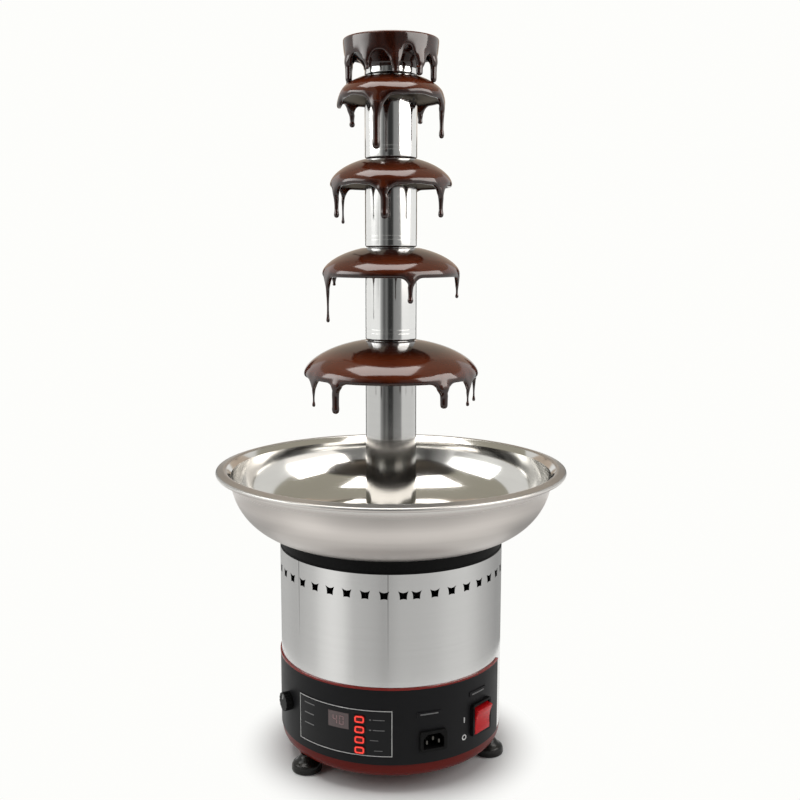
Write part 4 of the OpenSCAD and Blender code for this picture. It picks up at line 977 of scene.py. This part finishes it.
def turn_to(piece, az, pivot=None, lean=0.0):
    """Leans a piece about its pivot, then turns it round the axis to an azimuth, and keeps both in its mesh."""
    alone(piece)
    if pivot:
        leaning = Matrix.Translation(pivot) @ Matrix.Rotation(math.radians(lean), 4, "X")
        piece.matrix_world = leaning @ piece.matrix_world
        bpy.ops.object.transform_apply(location=True, rotation=True, scale=True)
    piece.rotation_euler = (0, 0, math.radians(az))
    bpy.ops.object.transform_apply(rotation=True)
    return piece


def joined(name, pieces):
    """Several pieces made one."""
    alone(pieces[0])
    for piece in pieces[1:]:
        piece.select_set(True)
    bpy.ops.object.join()
    pieces[0].name = pieces[0].data.name = name
    return pieces[0]


bar = trace("rocker_bar", side_view)
bpy.ops.mesh.edge_face_add()
bpy.ops.transform.translate(value=(-rocker_w / 2, 0, 0))
bpy.ops.mesh.extrude_region_move(TRANSFORM_OT_translate={"value": (rocker_w, 0, 0)})
face_outwards()
bpy.ops.mesh.bevel(offset=0.9 * MM, segments=3, affect="EDGES")
smooth(bar, 30)
lying = (0, math.pi / 2, 0)
pin = fresh(bpy.ops.mesh.primitive_cylinder_add, vertices=40, radius=pin_r, depth=pin_len, rotation=lying)
bpy.ops.object.transform_apply(rotation=True)
mode("EDIT")
bpy.ops.mesh.bevel(offset=0.2 * MM, segments=2, affect="EDGES")
smooth(pin, 30)
bar = joined("rocker_bar", [bar, pin])
turn_to(bar, switch_az, Vector((0, -pivot_d, switch_z)), tip)
dress(bar, "rocker_red", "rocker", "rocker")

# %% [markdown]
# ## Lit keys
# Each key glows through a ring in its cap. A thin plate is added at the key's face, its corners are rounded with a
# vertex bevel, and an inset opens its middle. The four rings are alike and are made in one loop.

# %% Lit keys
key_face, key_az = 131.3 * MM, -15
ring_size = 10.8 * MM, 7.8 * MM, 2.6 * MM, 0.3 * MM
ring_line = 1.75 * MM


def plate(name, width, height, corner, thick, face, z, ring=None):
    """A thin rounded plate facing the front, its back at a distance from the axis, or only a ring of it."""
    upright = (math.pi / 2, 0, 0)
    piece = fresh(bpy.ops.mesh.primitive_plane_add, name, size=1, rotation=upright, location=(0, -face, z))
    piece.scale = (width, height, 1)
    bpy.ops.object.transform_apply(location=True, rotation=True, scale=True)
    mode("EDIT")
    take_all()
    bpy.ops.mesh.bevel(offset=corner, segments=6, affect="VERTICES")
    take_all("FACE")
    if ring:
        bpy.ops.mesh.inset(thickness=ring)
        bpy.ops.mesh.delete(type="FACE")
        take_all("FACE")
    bpy.ops.mesh.extrude_region_move(TRANSFORM_OT_translate={"value": (0, -thick, 0)})
    face_outwards()
    return smooth(piece)


for k in (1, 2, 3, 4):
    low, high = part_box(f"key_{k}")
    ring = plate(f"key_ring_{k}", *ring_size, key_face, (low.z + high.z) / 2, ring_line)
    dress(turn_to(ring, key_az), "key_red", f"key_{k}", material=key_light)

# %% [markdown]
# ## Printed panel
# The keypad has a white frame line, and where the real one is lettered this one has plain bars. All of it is printed,
# so it is a film of ink a tenth of a millimetre thick. The bars are spun round the drum's axis and so lie on its curve.

# %% Printed panel
ink_t, bite, film_r, panel_r = 0.12 * MM, 0.05 * MM, 130.2 * MM, 129.75 * MM
inlet_az = 20.4


def printed(name, marks, r):
    """Bars of ink on a drum of some radius. Each mark is its two azimuths and its two heights in millimetres."""
    bars = []
    for az_from, az_to, low, high in marks:
        outline = [(r - bite, low * MM), (r + ink_t, low * MM), (r + ink_t, high * MM), (r - bite, high * MM)]
        bar = trace("bar", outline, az_from)
        spin(az_to - az_from, max(2, round(az_to - az_from)))
        take_all()
        bpy.ops.mesh.fill_holes(sides=0)
        face_outwards()
        bars.append(smooth(bar))
    return joined(name, bars)


frame_line = printed("frame_line", [
    (-50.7, 0.6, 97.4, 98.1), (-50.7, 0.6, 46.3, 47.0), (-50.7, -50.38, 47.0, 97.4), (0.28, 0.6, 47.0, 97.4),
], film_r)
dress(frame_line, "overlay_black", "base", material=ink)
bars = [(-47, -40, 90.2, 91.4), (-47, -40.5, 78.6, 79.8), (-47, -40.5, 66.8, 68.0)]
bars += [(-10.4, -9.4, z - 0.6, z + 0.6) for z in (87.5, 75.9)] + [(-8.6, -3, z - 0.45, z + 0.45) for z in (87.5, 75.9)]
bars += [(-10, -6, 63.9, 64.7), (-8, -4, 52.3, 53.1)]
dress(printed("keypad_bars", bars, film_r), "overlay_black", "base", material=dim_ink)

# %% Label bars
bar_r, bar_low, bar_high, inlet_z = 130.75 * MM, 30, 31.4, 61.7
fittings = (inlet_az, inlet_z), (switch_az, switch_z / MM)
labels = [(az - 6.5, az + 2.5, z + bar_low, z + bar_high) for az, z in fittings]
dress(printed("label_bars", labels, bar_r), "panel_black", "base", material=dim_ink)

# %% Switch marks
mark_h, mark_line, marks_az = 6.4 * MM, 1.3 * MM, 38.2
film = ink_t + bite, panel_r - bite
marks = [
    plate("mark_on", 1.5 * MM, mark_h, 0.4 * MM, *film, switch_z + 4 * MM),
    plate("mark_off", mark_h, mark_h, 3.15 * MM, *film, switch_z - 16 * MM, mark_line),
]
dress(turn_to(joined("switch_marks", marks), marks_az), "panel_black", "base", material=ink)

# %% [markdown]
# ## Display digits and knob pointer
# The display shows a temperature in seven-segment digits, faint because the lamp behind the smoked window is weak. The
# knob has a white line that points to its setting.

# %% Display digits
SEGMENTS = {
    "a": (-1.9, 1.9, 4.1, 5), "b": (1.7, 2.6, 0.5, 4.5), "c": (1.7, 2.6, -4.5, -0.5), "d": (-1.9, 1.9, -5, -4.1),
    "e": (-2.6, -1.7, -4.5, -0.5), "f": (-2.6, -1.7, 0.5, 4.5), "g": (-1.9, 1.9, -0.45, 0.45),
}
low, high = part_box("display_window")
window_z, window_az, per_mm = (low.z + high.z) / 2 / MM, -26, math.degrees(MM / film_r)
strokes = []
for offset, lit_segments in ((-4, "bcfg"), (4, "abcdef")):
    for letter in lit_segments:
        left, right, bottom, top = SEGMENTS[letter]
        from_az, to_az = (window_az + (offset + end) * per_mm for end in (left, right))
        strokes.append((from_az, to_az, window_z + bottom, window_z + top))
dress(printed("display_digits", strokes, film_r), "window_smoke", "base", material=digit_light)

# %% Knob pointer
low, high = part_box("knob")
knob_az, knob_front = -62, 138.15 * MM
pointer = plate("knob_pointer", 1.3 * MM, 6 * MM, 0.4 * MM, 0.15 * MM, knob_front - bite, (low.z + high.z) / 2 + 6 * MM)
dress(turn_to(pointer, knob_az), "black_plastic", "knob", material=ink)

# %% [markdown]
# ## Everything else from the CAD model
# The drum, the panel, the collar, the fittings and the works inside are the right shape already, with fine smooth
# faces, so they stay and only take their finishes. The record says which finish each node has.

# %% Finishes for the CAD nodes
for part in frame["record"]["subparts"]:
    node = frame["nodes"][part["node"]]
    for holder in node.material_slots:
        holder.material = finish[part["material_slot"]]

# %% [markdown]
# ## Lowest tube
# The lowest tube stands in the basin and under the widest tier, and both keep the bright room from it. Its steel is a
# copy of the other tubes' steel with painted shade by height: a little under the tier, and more below the basin's lip.

# %% Lowest tube
shaded = finish["tube_steel"].copy()
shaded.name = "shaded_tube_steel"
tree, shader = opened(shaded)
lip_image_z = 0.372
# Painted shade: darker below the height where the basin's lip is mirrored, less dark above it
painted_shading = spread(tree, parts(tree, place(tree))[2], lip_image_z - MM, lip_image_z + MM, 0.75, 0.36)
bright = shader.inputs["Base Color"].links[0].from_socket
feed(tree, shader, Base_Color=blend(tree, painted_shading, bright, (0.07, 0.065, 0.055, 1)))
for holder in frame["nodes"]["sleeve_1"].material_slots:
    holder.material = shaded
print("sleeve_1 takes", shaded.name)
